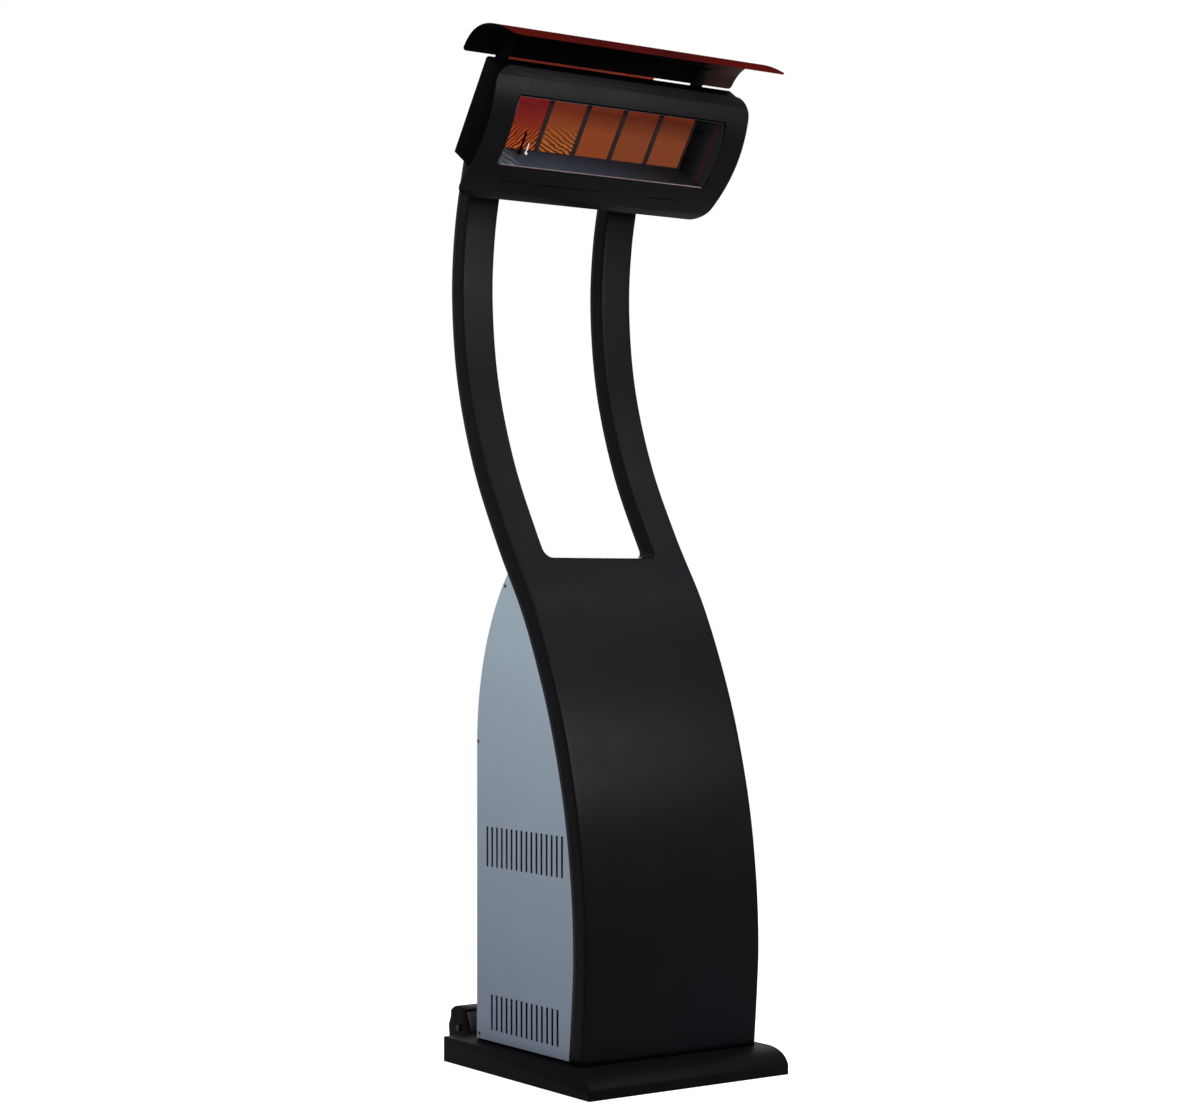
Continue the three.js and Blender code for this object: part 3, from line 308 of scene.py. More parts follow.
@dataclass(frozen=True)
class Coat:
    """Baked paint on sheet steel: two tones in clouds, a gloss that drifts, a fine peel and, if given,
    painted shade towards its foot.
    """

    colour: Colour
    other: Colour
    roughness: float
    specular: float = 0.5
    metallic: float = 0.0
    spread: float = 0.03
    tones: Clouds = Clouds(0.45)
    stops: Point = (0.35, 0.65)
    gloss: Clouds | None = None
    skin: Clouds = Clouds(1.3 * MM, 2)
    depth: float = 0.012 * MM
    # The foot colour is painted shade: the coat darkens to it towards its lowest heights.
    foot: Colour | None = None
    painted_shade_rise: Point = (0.05, 0.95)

    def material(self, name: str) -> Material:
        """Makes the finish.

        Args:
            name: The material's name.

        Returns:
            The material.
        """
        board = Board(name)
        tone = board.ramp(self.tones.on(board), *zip(self.stops, (self.colour, self.other)))
        # Painted shade: towards the foot the colour darkens.
        if self.foot:
            tone = board.mix(board.along("Z", *self.painted_shade_rise), self.foot, tone)
        gloss = self.gloss or Clouds(self.tones.size / 6, 5)
        limits = (self.roughness - self.spread, self.roughness + self.spread)
        board.set(Base_Color=tone, Roughness=board.between(gloss.on(board), *limits))
        board.set(Metallic=self.metallic, Specular_IOR_Level=self.specular)
        board.bump(self.skin.on(board), self.depth)
        return board.material


@dataclass(frozen=True)
class Metal(Coat):
    """Plated or blackened steel with a fine grain."""

    metallic: float = 1.0
    spread: float = 0.07
    tones: Clouds = Clouds(0.06, 5)
    stops: Point = (0.35, 0.7)
    gloss: Clouds | None = Clouds(0.8 * MM, 2)
    skin: Clouds = Clouds(0.8 * MM, 2)
    depth: float = 0.01 * MM


@dataclass(frozen=True)
class Moulded(Coat):
    """Moulded plastic or rubber with a fine pebbled skin and pale dust."""

    specular: float = 0.35
    spread: float = 0.05
    tones: Clouds = Clouds(0.05, 6)
    stops: Point = (0.4, 0.85)
    gloss: Clouds | None = Clouds(0.05, 6)
    skin: Clouds = Clouds(0.6 * MM, cells=True)
    depth: float = 0.03 * MM


@dataclass(frozen=True)
class CastIron(Coat):
    """Rough painted cast iron with some rust."""

    metallic: float = 0.3
    spread: float = 0.125
    tones: Clouds = Clouds(40 * MM, 6)
    stops: Point = (0.5, 0.75)
    gloss: Clouds | None = Clouds(40 * MM, 6)
    skin: Clouds = Clouds(4 * MM, 6)
    depth: float = 0.4 * MM


@dataclass(frozen=True)
class Glaze(Coat):
    """Glazed ceramic with a faint warm soot."""

    spread: float = 0.15
    tones: Clouds = Clouds(12 * MM, 5)
    stops: Point = (0.5, 0.9)
    gloss: Clouds | None = Clouds(12 * MM, 5)
    skin: Clouds = Clouds(1.5 * MM, 2)
    depth: float = 0.02 * MM


@dataclass(frozen=True)
class PaintedLightUnderside:
    """Dark paint under the hood, darkened further as painted shade, with painted light beyond the right post
    that fades to painted shade lower down.
    """

    # The underside's dark colour is paint darkened as painted shade; the next two colours are the painted
    # light beyond the right post and the painted shade it fades to.
    dark_underside: Colour = srgb(4, 3, 4)
    painted_light: Colour = srgb(76, 58, 56)
    painted_shade: Colour = srgb(34, 23, 22)
    across: Point = (0.258, 0.276)
    rise: Point = (0.15, 0.215)

    def material(self, name: str, home: Matrix) -> Material:
        """Makes the finish.

        Args:
            name: The material's name.
            home: The head's frame.

        Returns:
            The material.
        """
        board = Board(name, home)
        # Painted light beyond the right post, fading to painted shade lower down; the rest of the underside
        # is dark, with painted shade.
        painted_light = board.ramp(board.along("Z", *self.rise), (0, self.painted_shade), (1, self.painted_light))
        board.set(
            Base_Color=board.mix(board.along("X", *self.across), self.dark_underside, painted_light),
            Roughness=board.between(board.noise(30 * MM, 5), 0.6, 0.75),
            Specular_IOR_Level=0.01,
        )
        board.bump(board.noise(2 * MM, 3), 0.03 * MM)
        return board.material


@dataclass(frozen=True)
class ReflectorWithPaintedShade:
    """Heat-dulled reflector sheet: darker to the right as painted shade, mottled at its lower left corner.

    On its right wall a band near the front is tempered, and the lip before it is black.
    """

    # The left and right colours make a painted shade, darker to the right.
    left: Colour = srgb(42, 53, 65)
    right: Colour = srgb(18, 20, 23)
    mottle: Colour = srgb(84, 98, 98)
    temper: Colour = srgb(46, 6, 22)
    lip: Colour = srgb(10, 9, 10)
    painted_shade_fade: Point = (-0.15, 0.2)
    wall: Point = (0.262, 0.266)
    mottle_limits: tuple[tuple, ...] = (("X", -0.222, -0.236), ("Z", -0.054, -0.062), ("X", -0.3, -0.275))
    temper_limits: tuple[tuple, ...] = (("Y", -0.115, -0.118), ("Y", -0.126, -0.122))
    lip_limit: tuple = ("Y", -0.122, -0.127)

    def material(self, name: str, home: Matrix) -> Material:
        """Makes the finish.

        Args:
            name: The material's name.
            home: The head's frame.

        Returns:
            The material.
        """
        board = Board(name, home)
        # Painted shade: darker from left to right across the sheet.
        tone = board.mix(board.along("X", *self.painted_shade_fade), self.left, self.right)
        streaks = board.waves("DIAGONAL", 30.0, 5.0, 1.0, Scale=(1, 0.4, 1))
        corner = board.product(streaks, *(board.along(*limit) for limit in self.mottle_limits))
        tone = board.mix(corner, tone, self.mottle)
        wall = board.along("X", *self.wall)
        tone = board.mix(board.product(wall, board.along(*self.lip_limit)), tone, self.lip)
        band = board.product(wall, *(board.along(*limit) for limit in self.temper_limits))
        grain = board.noise(0.8 * MM, 2, (0.06, 1, 1))
        board.set(
            Base_Color=board.mix(band, tone, self.temper),
            Metallic=0.55,
            Roughness=board.between(grain, 0.42, 0.56),
            Specular_IOR_Level=0.2,
        )
        board.bump(grain, 0.01 * MM)
        return board.material


@dataclass(frozen=True)
class GlowingCeramic:
    """Perforated burner ceramic at a dull heat, brighter to its foot, with bright and dark ripples there."""

    edge: Colour = srgb(112, 46, 26)
    top: Colour = srgb(88, 30, 14)
    foot: Colour = srgb(122, 58, 28)
    ripple_crest: Colour = srgb(206, 120, 44)
    gap: Colour = srgb(56, 14, 8)
    ripple_top: float = 0.0
    ripple_turn: float = 0.6
    hole_pitch: float = 2.6 * MM
    low: float = -0.060
    high: float = 0.072

    def material(self, name: str, home: Matrix) -> Material:
        """Makes the finish.

        Args:
            name: The material's name.
            home: The head's frame.

        Returns:
            The material.
        """
        board = Board(name, home)
        height = board.math("SUBTRACT", board.along("Z", self.low, self.high), 0.1)
        drift = board.math("MULTIPLY_ADD", board.noise(50 * MM, 3), 0.2, height)
        heat = board.ramp(drift, (0.0, self.foot), (0.45, self.foot), (0.85, self.top), (1.0, self.edge))
        if self.ripple_top:
            waves = board.waves("Z", 34.0, 5.5, 1.4, Rotation=(0, self.ripple_turn, 0))
            ripple_colours = board.ramp(waves, (0.15, self.gap), (0.55, self.foot), (0.9, self.ripple_crest))
            share = board.along("Z", self.low + self.ripple_top * (self.high - self.low), self.low)
            heat = board.mix(board.math("POWER", share, 0.6), heat, ripple_colours)
        board.set(
            Base_Color=srgb(24, 12, 9),
            Emission_Color=heat,
            Emission_Strength=0.92,
            Roughness=0.9,
            Specular_IOR_Level=0.05,
        )
        board.bump(board.cells(self.hole_pitch, 0.0), 0.4 * MM)
        return board.material


FINISHES = {
    Slot.BLACK_COAT: Coat(srgb(9, 7, 8), srgb(7, 8, 11), 0.38, 0.02),
    Slot.BASE_COAT: Coat(srgb(8, 7, 8), srgb(6, 6, 8), 0.5, 0.014, depth=0.03 * MM),
    # The grey coat's foot colour is painted shade towards the panels' bottom.
    Slot.GREY_COAT: Coat(srgb(146, 160, 172), srgb(150, 165, 177), 0.5, 0.2, foot=srgb(116, 127, 144)),
    Slot.HOOD_COAT: Coat(srgb(47, 9, 9), srgb(61, 11, 8), 0.5, 0.0, tones=Clouds(0.2)),
    Slot.BALLAST_IRON: CastIron(srgb(38, 38, 40), srgb(70, 46, 34), 0.725),
    Slot.FOOT_RUBBER: Moulded(srgb(24, 24, 25), srgb(44, 43, 42), 0.85),
    Slot.WHEEL_RUBBER: Moulded(srgb(22, 21, 24), srgb(46, 44, 43), 0.8),
    Slot.ZINC_STEEL: Metal(srgb(104, 108, 115), srgb(86, 90, 98), 0.4),
    Slot.DARK_STEEL: Metal(srgb(46, 49, 55), srgb(34, 34, 39), 0.45),
    Slot.HEAT_TINTED_STEEL: Coat(srgb(118, 44, 30), srgb(104, 36, 25), 0.6, 0.03, tones=Clouds(0.08)),
    Slot.BRASS: Metal(srgb(186, 150, 84), srgb(150, 116, 60), 0.33),
    Slot.BLACK_PLASTIC: Moulded(srgb(22, 22, 24), srgb(36, 36, 38), 0.5),
    Slot.WHITE_CERAMIC: Glaze(srgb(222, 218, 206), srgb(150, 132, 112), 0.35),
}


# ---------------------------------------------------------------- shapes


class Line:
    """A smooth line of points in a plane, with the same line moved sideways.

    A positive distance moves it to its left, seen along its way.
    """

    def __init__(self, points: Sequence[Point]) -> None:
        """Measures the line.

        Args:
            points: The line's points, close enough together to be smooth.
        """
        self.points = [Vector(p) for p in points]
        self.lengths = [0.0]
        for before, after in zip(self.points, self.points[1:]):
            self.lengths.append(self.lengths[-1] + (after - before).length)
        self.lefts = []
        last = len(self.points) - 1
        for i in range(last + 1):
            along = (self.points[min(i + 1, last)] - self.points[max(i - 1, 0)]).normalized()
            self.lefts.append(Vector((-along.y, along.x)))

    @property
    def length(self) -> float:
        """The line's whole length."""
        return self.lengths[-1]

    def at(self, length: float, left: float = 0.0) -> Vector:
        """Finds a point of the line.

        Args:
            length: How far along the line it lies.
            left: How far it is moved to the left.

        Returns:
            The point.
        """
        i = min(max(bisect_left(self.lengths, length), 1), len(self.points) - 1)
        share = (length - self.lengths[i - 1]) / (self.lengths[i] - self.lengths[i - 1])
        point = self.points[i - 1].lerp(self.points[i], share)
        return point + self.lefts[i - 1].lerp(self.lefts[i], min(max(share, 0), 1)) * left

    def beside(self, left: float) -> "Line":
        """The whole line moved to the left."""
        return Line([tuple(p + n * left) for p, n in zip(self.points, self.lefts)])

    def extended(self, reach: float) -> "Line":
        """The line with a straight stretch of that length added at both ends."""
        ends = ((self.points[0], self.points[1]), (self.points[-1], self.points[-2]))
        first, last = (tuple(end - (inner - end).normalized() * reach) for end, inner in ends)
        return Line([first, *map(tuple, self.points), last])

    def at_height(self, height: float) -> float:
        """Finds where the line passes a height.

        Args:
            height: The second coordinate.

        Returns:
            The first coordinate there.
        """
        rising = self.points[-1].y > self.points[0].y
        points = self.points if rising else self.points[::-1]
        i = min(max(bisect_left([p.y for p in points], height), 1), len(points) - 1)
        low, high = points[i - 1], points[i]
        return low.x + (high.x - low.x) * (height - low.y) / (high.y - low.y)


def spline(points: Sequence[Point], steps: int) -> list[Point]:
    """A smooth curve through points, which leaves each one along the line between its neighbours.

    Args:
        points: The points that it passes through.
        steps: How many steps it has between two of them.

    Returns:
        The curve's points.
    """
    last = len(points) - 1
    made = []
    for i in range(last):
        p0, p1, p2, p3 = (Vector(points[min(max(i + k, 0), last)]) for k in (-1, 0, 1, 2))
        a = 2 * p1 - 2 * p2 + (p2 - p0) / 2 + (p3 - p1) / 2
        b = -3 * p1 + 3 * p2 - (p2 - p0) - (p3 - p1) / 2
        for t in (step / steps for step in range(steps)):
            made.append(tuple(a * t**3 + b * t**2 + (p2 - p0) / 2 * t + p1))
    return [*made, tuple(points[-1])]


def bezier(points: Sequence[Point], steps: int) -> list[Point]:
    """A Bezier curve.

    Args:
        points: Its control points, of any number.
        steps: How many steps it has.

    Returns:
        The curve's points.
    """
    made = []
    for step in range(steps + 1):
        row = [Vector(p) for p in points]
        while len(row) > 1:
            row = [a.lerp(b, step / steps) for a, b in zip(row, row[1:])]
        made.append(tuple(row[0]))
    return made


def rounded_box(low: Point, high: Point, radius: float | Sequence[float], steps: int = 10) -> list[Point]:
    """A rectangle with rounded corners.

    Args:
        low: Its lower left corner.
        high: Its upper right corner.
        radius: The corners' radius, or those at the lower left, lower right, upper right and upper left.
        steps: Steps round each corner.

    Returns:
        The outline.
    """
    radii = radius if isinstance(radius, Sequence) else [radius] * 4
    (left, foot), (right, top) = low, high
    ends = ((left, foot, 1, 1), (right, foot, -1, 1), (right, top, -1, -1), (left, top, 1, -1))
    outline = []
    for i, ((x, y, inward_x, inward_y), radius) in enumerate(zip(ends, radii)):
        for step in range(steps + 1):
            angle = math.pi + i * math.pi / 2 + step / steps * math.pi / 2
            across, up = inward_x + math.cos(angle), inward_y + math.sin(angle)
            outline.append((x + radius * across, y + radius * up))
    return outline


def grid(rows: Sequence[Sequence[Vector]], closed: bool = False) -> Mesh:
    """A sheet of four-sided faces through rows of points.

    Args:
        rows: As many points in each row.
        closed: True if the last row joins the first one.

    Returns:
        The sheet.
    """
    mesh = bmesh.new()
    made = [[mesh.verts.new(p) for p in row] for row in rows]
    for before, after in zip(made, made[1:] + made[:1] if closed else made[1:]):
        for i in range(len(before) - 1):
            mesh.faces.new((before[i], before[i + 1], after[i + 1], after[i]))
    return mesh


def welded(mesh: Mesh, gap: float = 0.001 * MM) -> Mesh:
    """The mesh with the points that meet made one."""
    bmesh.ops.remove_doubles(mesh, verts=mesh.verts, dist=gap)
    return mesh


def outward(mesh: Mesh) -> Mesh:
    """The mesh with its faces turned outwards."""
    bmesh.ops.recalc_face_normals(mesh, faces=mesh.faces)
    return mesh


def moved(mesh: Mesh, change: Matrix) -> Mesh:
    """The mesh, moved and turned."""
    mesh.transform(change)
    return mesh


def joined(*meshes: Mesh, gap: float = 0.002 * MM) -> Mesh:
    """Several meshes as one.

    Args:
        *meshes: The meshes, which are used up.
        gap: How close points lie that are made one.

    Returns:
        The whole mesh.
    """
    whole = bmesh.new()
    for mesh in meshes:
        data = bpy.data.meshes.new("part")
        mesh.to_mesh(data)
        mesh.free()
        whole.from_mesh(data)
        bpy.data.meshes.remove(data)
    return welded(whole, gap)


def turned(
    profile: Sequence[Point],
    centre: Sequence[float],
    axis: Axis = Axis.Z,
    steps: int = 32,
    closed: bool = False,
) -> Mesh:
    """A turned piece.

    Args:
        profile: Its outline as radius and length along the axis, from axis to axis unless it is closed.
        centre: Where the outline's zero lies.
        axis: Its direction.
        steps: Steps round the axis.
        closed: True for a ring, whose outline ends where it starts.

    Returns:
        The piece.
    """
    line = [*profile, profile[0]] if closed else profile
    turns = [2 * math.pi * i / steps for i in range(steps)]
    rows = [[Vector((r * math.cos(a), r * math.sin(a), z)) for r, z in line] for a in turns]
    mesh = welded(grid(rows, closed=True))
    return outward(moved(mesh, Matrix.Translation(centre) @ axis.value))


def plate(
    outline: Sequence[Point], thickness: float, holes: Iterable[Sequence[Point]] = (), edge: float = 0.3 * MM
) -> Mesh:
    """A flat plate with softened edges, in its own X and Y, half its thickness above and below.

    Args:
        outline: The plate's outline.
        thickness: How thick it is.
        holes: The outlines of its holes.
        edge: How far its edges are rounded.

    Returns:
        The plate.
    """
    curve = bpy.data.curves.new("plate", "CURVE")
    curve.dimensions, curve.fill_mode = "2D", "BOTH"
    curve.extrude = thickness / 2 - edge
    curve.bevel_depth, curve.bevel_resolution = edge, 1
    curve.offset = -edge
    for line in (outline, *holes):
        path = curve.splines.new("POLY")
        path.points.add(len(line) - 1)
        for point, (x, y) in zip(path.points, line):
            point.co = (x, y, 0, 1)
        path.use_cyclic_u = True
    thing = bpy.data.objects.new("plate", curve)
    bpy.context.scene.collection.objects.link(thing)
    data = bpy.data.meshes.new_from_object(thing.evaluated_get(bpy.context.evaluated_depsgraph_get()))
    mesh = bmesh.new()
    mesh.from_mesh(data)
    bpy.data.objects.remove(thing)
    bpy.data.curves.remove(curve)
    bpy.data.meshes.remove(data)
    return outward(welded(mesh, 0.002 * MM))


def bent(mesh: Mesh, levels: Iterable[float], place: Place) -> Mesh:
    """A flat plate cut into strips across its Y, with each point moved.

    Args:
        mesh: The plate.
        levels: Where the strips' edges lie along Y.
        place: The new place of a point of the plate.

    Returns:
        The same plate, bent.
    """
    for level in levels:
        cut = {"plane_co": (0, level, 0), "plane_no": (0, 1, 0), "dist": 0.001 * MM}
        bmesh.ops.bisect_plane(mesh, geom=[*mesh.verts, *mesh.edges, *mesh.faces], **cut)
    for vert in mesh.verts:
        vert.co = place(*vert.co)
    return outward(mesh)


def levels_between(low: float, high: float, count: int) -> list[float]:
    """The heights that cut a stretch into as many even parts."""
    return [low + (high - low) * i / count for i in range(1, count)]


def bar(points: Sequence[Vector], radius: float, sides: int) -> Mesh:
    """A round bar along points, with closed ends.

    Args:
        points: The bar's middle line.
        radius: Its radius.
        sides: Sides round it.

    Returns:
        The bar.
    """
    across = (points[1] - points[0]).orthogonal().normalized()
    turns = [2 * math.pi * k / sides for k in range(sides + 1)]
    rows = []
    for i, point in enumerate(points):
        along = (points[min(i + 1, len(points) - 1)] - points[max(i - 1, 0)]).normalized()
        across = (across - along * across.dot(along)).normalized()
        other = along.cross(across)
        rows.append([point + (across * math.cos(a) + other * math.sin(a)) * radius for a in turns])
    mesh = welded(grid(rows))
    bmesh.ops.holes_fill(mesh, edges=[e for e in mesh.edges if e.is_boundary])
    return outward(mesh)


def rounded_path(points: Sequence[Vector], radius: float, steps: int = 8) -> list[Vector]:
    """A line of straight stretches with its corners rounded.

    Args:
        points: The line's ends and corners.
        radius: How far from a corner its rounding starts.
        steps: Steps round each corner.

    Returns:
        The line's points.
    """
    path = [points[0]]
    for before, corner, after in zip(points, points[1:], points[2:]):
        start = corner + (before - corner).normalized() * radius
        end = corner + (after - corner).normalized() * radius
        for t in (step / steps for step in range(steps + 1)):
            path.append(start.lerp(corner, t).lerp(corner.lerp(end, t), t))
    return [*path, points[-1]]


def block(low: Sequence[float], high: Sequence[float], edge: float) -> Mesh:
    """A box with rounded edges.

    Args:
        low: Its lowest corner.
        high: Its highest corner.
        edge: How far its edges are rounded.

    Returns:
        The box.
    """
    mesh = bmesh.new()
    bmesh.ops.create_cube(mesh, size=1.0)
    middle, size = (Vector(high) + Vector(low)) / 2, Vector(high) - Vector(low)
    mesh.transform(Matrix.Translation(middle) @ Matrix.Diagonal((*size, 1)))
    bmesh.ops.bevel(mesh, geom=mesh.edges, offset=edge, segments=2, profile=0.5, affect="EDGES")
    return mesh


def blocks(*boxes: Sequence[float], edge: float) -> Mesh:
    """Boxes as one mesh, each given by its lowest and its highest corner in millimetres."""
    return joined(*(block(Vector(box[:3]) * MM, Vector(box[3:]) * MM, edge * MM) for box in boxes))


# ---------------------------------------------------------------- the bench


@dataclass
class Bench:
    """What each sub-assembly is built on: the depth of the base's front edge and the finishes."""

    front: float
    materials: dict[Slot, Material]

    def depth(self, value: float) -> float:
        """A depth from the base's front edge as a Y of the frame."""
        return self.front + value

    def add(
        self,
        name: str,
        mesh: Mesh,
        slot: Slot,
        body: str,
        nodes: Sequence[str] = (),
        *,
        sharp: float = 24.0,
        edge: float = 0.0,
        wall: float = 0.0,
        finish: Material | None = None,
    ) -> bpy.types.Object:
        """Makes a piece that rides on a body.

        Args:
            name: The piece's name.
            mesh: Its mesh, which is used up.
            slot: Its finish.
            body: The body that it moves with.
            nodes: The solids that it stands for.
            sharp: The angle in degrees from which an edge shows as an edge.
            edge: How far such edges are rounded.
            wall: A sheet's thickness, behind its faces.
            finish: The slot's finish as it is on this piece alone.

        Returns:
            The piece.
        """
        for face in mesh.faces:
            face.smooth = True
        for line in () if edge else mesh.edges:
            line.smooth = not (len(line.link_faces) == 2 and line.calc_face_angle() > math.radians(sharp))
        data = bpy.data.meshes.new(name)
        mesh.to_mesh(data)
        mesh.free()
        piece = bpy.data.objects.new(name, data)
        bpy.context.scene.collection.objects.link(piece)
        data.materials.append(finish or self.materials[slot])
        if wall:
            shell = piece.modifiers.new("wall", "SOLIDIFY")
            shell.thickness, shell.offset, shell.use_even_offset = wall, -1, True
        if edge:
            rounding = piece.modifiers.new("edge", "BEVEL")
            rounding.width, rounding.segments = edge, 2
            rounding.limit_method, rounding.angle_limit = "ANGLE", math.radians(sharp)
            rounding.harden_normals = True
        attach(piece, body)
        if nodes:
            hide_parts(*nodes)
        return piece

    def solid(self, node: str, flat: float) -> Mesh:
        """A node's own shape.

        Args:
            node: The node.
            flat: The angle in degrees up to which faces are made one.

        Returns:
            The shape.
        """
        mesh = bmesh.new()
        mesh.from_mesh(frame["nodes"][node].data)
        welded(mesh, 0.01 * MM)
        bmesh.ops.dissolve_limit(mesh, angle_limit=math.radians(flat), verts=mesh.verts, edges=mesh.edges)
        return outward(mesh)

    def refined(
        self,
        node: str,
        slot: Slot,
        body: str,
        edge: float,
        sharp: float = 24.0,
        finish: Material | None = None,
    ) -> bpy.types.Object:
        """A node's own shape with its edges rounded, in the node's place.

        Args:
            node: The node.
            slot: The finish.
            body: The body that it moves with.
            edge: How far the edges are rounded, in millimetres.
            sharp: The angle in degrees from which they are.
            finish: The slot's finish as it is on this piece alone.

        Returns:
            The piece.
        """
        looks = {"edge": edge * MM, "sharp": sharp, "finish": finish}
        return self.add(f"{node}_shape", self.solid(node, 0.5), slot, body, (node,), **looks)


@dataclass
class Assembly:
    """A sub-assembly of the heater."""

    bench: Bench


# ---------------------------------------------------------------- base


@dataclass
class Base(Assembly):
    """The weighted pan, its ballast and feet, and the two wheels behind it."""

    width: float = 0.541
    depth: float = 0.581
    top: float = 0.057
    foot: float = 0.001
    wall: float = 0.002
    nose_start: float = 0.066
    nose_foot: float = 0.022
    nose_bend: Point = (0.011, 0.053)
    edge: float = 0.0022
    foot_radius: float = 0.020
    foot_profile: tuple[Point, ...] = (
        (0, 0), (0.82, 0), (0.9, 0.02), (0.97, 0.08), (1, 0.2), (1, 0.45), (0.94, 0.5), (1, 0.55), (1, 0.95),
        (0.96, 1), (0, 1),
    )
    wheel_radius: float = 0.0455
    wheel_width: float = 0.050
    wheel_place: Colour = (0.1685, 0.6308, 0.062)
    hub_radius: float = 0.017
    bore: float = 0.0054
    rim: tuple[Point, ...] = ((0.0318, 0.006), (0.0332, 0.0006), (0.0345, 0))
    shoulder: float = 0.005
    grooves: tuple[float, ...] = (-0.010, 0.0, 0.010)
    groove: tuple[Point, ...] = ((0, -0.0016), (0.0014, -0.0011), (0.0014, 0.0011), (0, 0.0016))
    ribs: int = 6
    rib_inset: float = 0.0059

    def build(self) -> None:
        """Builds and dresses the base."""
        self.pan()
        self.bench.refined("ballast_block", Slot.BALLAST_IRON, "frame", 1.2)
        for i in range(4):
            self.rubber_foot(f"foot_{i + 1}")
        for side, sign in SIDES:
            self.bench.refined(f"wheel_bracket_{side}", Slot.BASE_COAT, "frame", 0.5)
            self.wheel(f"wheel_{side}", sign)
            black = Metal(srgb(30, 28, 31), srgb(22, 20, 23), 0.55).material(f"bolt_{side}")
            self.bench.refined(f"wheel_axle_{side}", Slot.ZINC_STEEL, "frame", 0.5, 35, black)

    def pan(self) -> None:
        """The folded pan with its waterfall front edge."""
        nose = bezier([(self.nose_start, self.top), self.nose_bend, (0, self.nose_foot)], 24)
        line = [(self.depth, self.foot), (self.depth, self.top), *nose, (0, self.foot)]
        half = self.width / 2
        mesh = bmesh.new()
        ends = [[mesh.verts.new((x, self.bench.depth(y), z)) for y, z in line] for x in (-half, half)]
        for end in ends:
            mesh.faces.new(end)
        for i in range(len(line) - 1):
            mesh.faces.new((ends[0][i], ends[0][i + 1], ends[1][i + 1], ends[1][i]))
        outward(mesh)
        folds = [e for e in mesh.edges if len(e.link_faces) == 2 and e.calc_face_angle() > math.radians(60)]
        folds = [e for e in folds if max(v.co.z for v in e.verts) > self.foot]
        bmesh.ops.bevel(mesh, geom=folds, offset=self.edge, segments=4, profile=0.5, affect="EDGES")
        add = self.bench.add
        add("base_pan_shell", mesh, Slot.BASE_COAT, "frame", ("base_pan",), wall=self.wall, sharp=40)

    def rubber_foot(self, node: str) -> None:
        """A ribbed rubber foot in the node's place."""
        low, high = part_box(node)
        profile = [(self.foot_radius * across, high.z * up) for across, up in self.foot_profile]
        mesh = turned(profile, ((low.x + high.x) / 2, (low.y + high.y) / 2, 0), steps=48)
        self.bench.add(f"{node}_rubber", mesh, Slot.FOOT_RUBBER, "frame", (node,), sharp=35)

    def wheel(self, node: str, sign: int) -> None:
        """A solid rubber wheel with a grooved tread and ribbed discs.

        Args:
            node: The wheel's node, which is also its body.
            sign: -1 on the left, 1 on the right.
        """
        half, radius, hub = self.wheel_width / 2, self.wheel_radius, self.hub_radius
        first = [
            (self.bore, -half), (hub - 1 * MM, -half), (hub, 1 * MM - half), (hub + 0.6 * MM, 6 * MM - half),
            *((r, back - half) for r, back in self.rim),
        ]
        for turn in (math.pi / 2 * i / 6 for i in range(7)):
            inner, back = self.shoulder * (1 - math.sin(turn)), self.shoulder * (1 - math.cos(turn))
            first.append((radius - inner, back - half))
        tread = [(radius - sink, middle + along) for middle in self.grooves for sink, along in self.groove]
        profile = [*first, *tread, *((r, -a) for r, a in reversed(first))]
        across, depth, height = self.wheel_place
        centre = Vector((sign * across, self.bench.depth(depth), height))
        mesh = turned(profile, centre, Axis.X, 72, closed=True)
        self.bench.add(f"{node}_tyre", mesh, Slot.WHEEL_RUBBER, node, (node,), sharp=35)
        ribs = []
        for face, axis in ((-1, Axis.MINUS_X), (1, Axis.X)):
            seat = Matrix.Translation(centre + Vector((face * (half - self.rib_inset), 0, 0))) @ axis.value
            for i in range(self.ribs):
                rib = block((-1.2 * MM, hub - 1 * MM, 0), (1.2 * MM, 0.0325, 2.6 * MM), 0.4 * MM)
                ribs.append(moved(rib, seat @ Matrix.Rotation(i * 2 * math.pi / self.ribs, 4, "Z")))
        self.bench.add(f"{node}_ribs", joined(*ribs), Slot.WHEEL_RUBBER, node)


# ---------------------------------------------------------------- front frame and arms


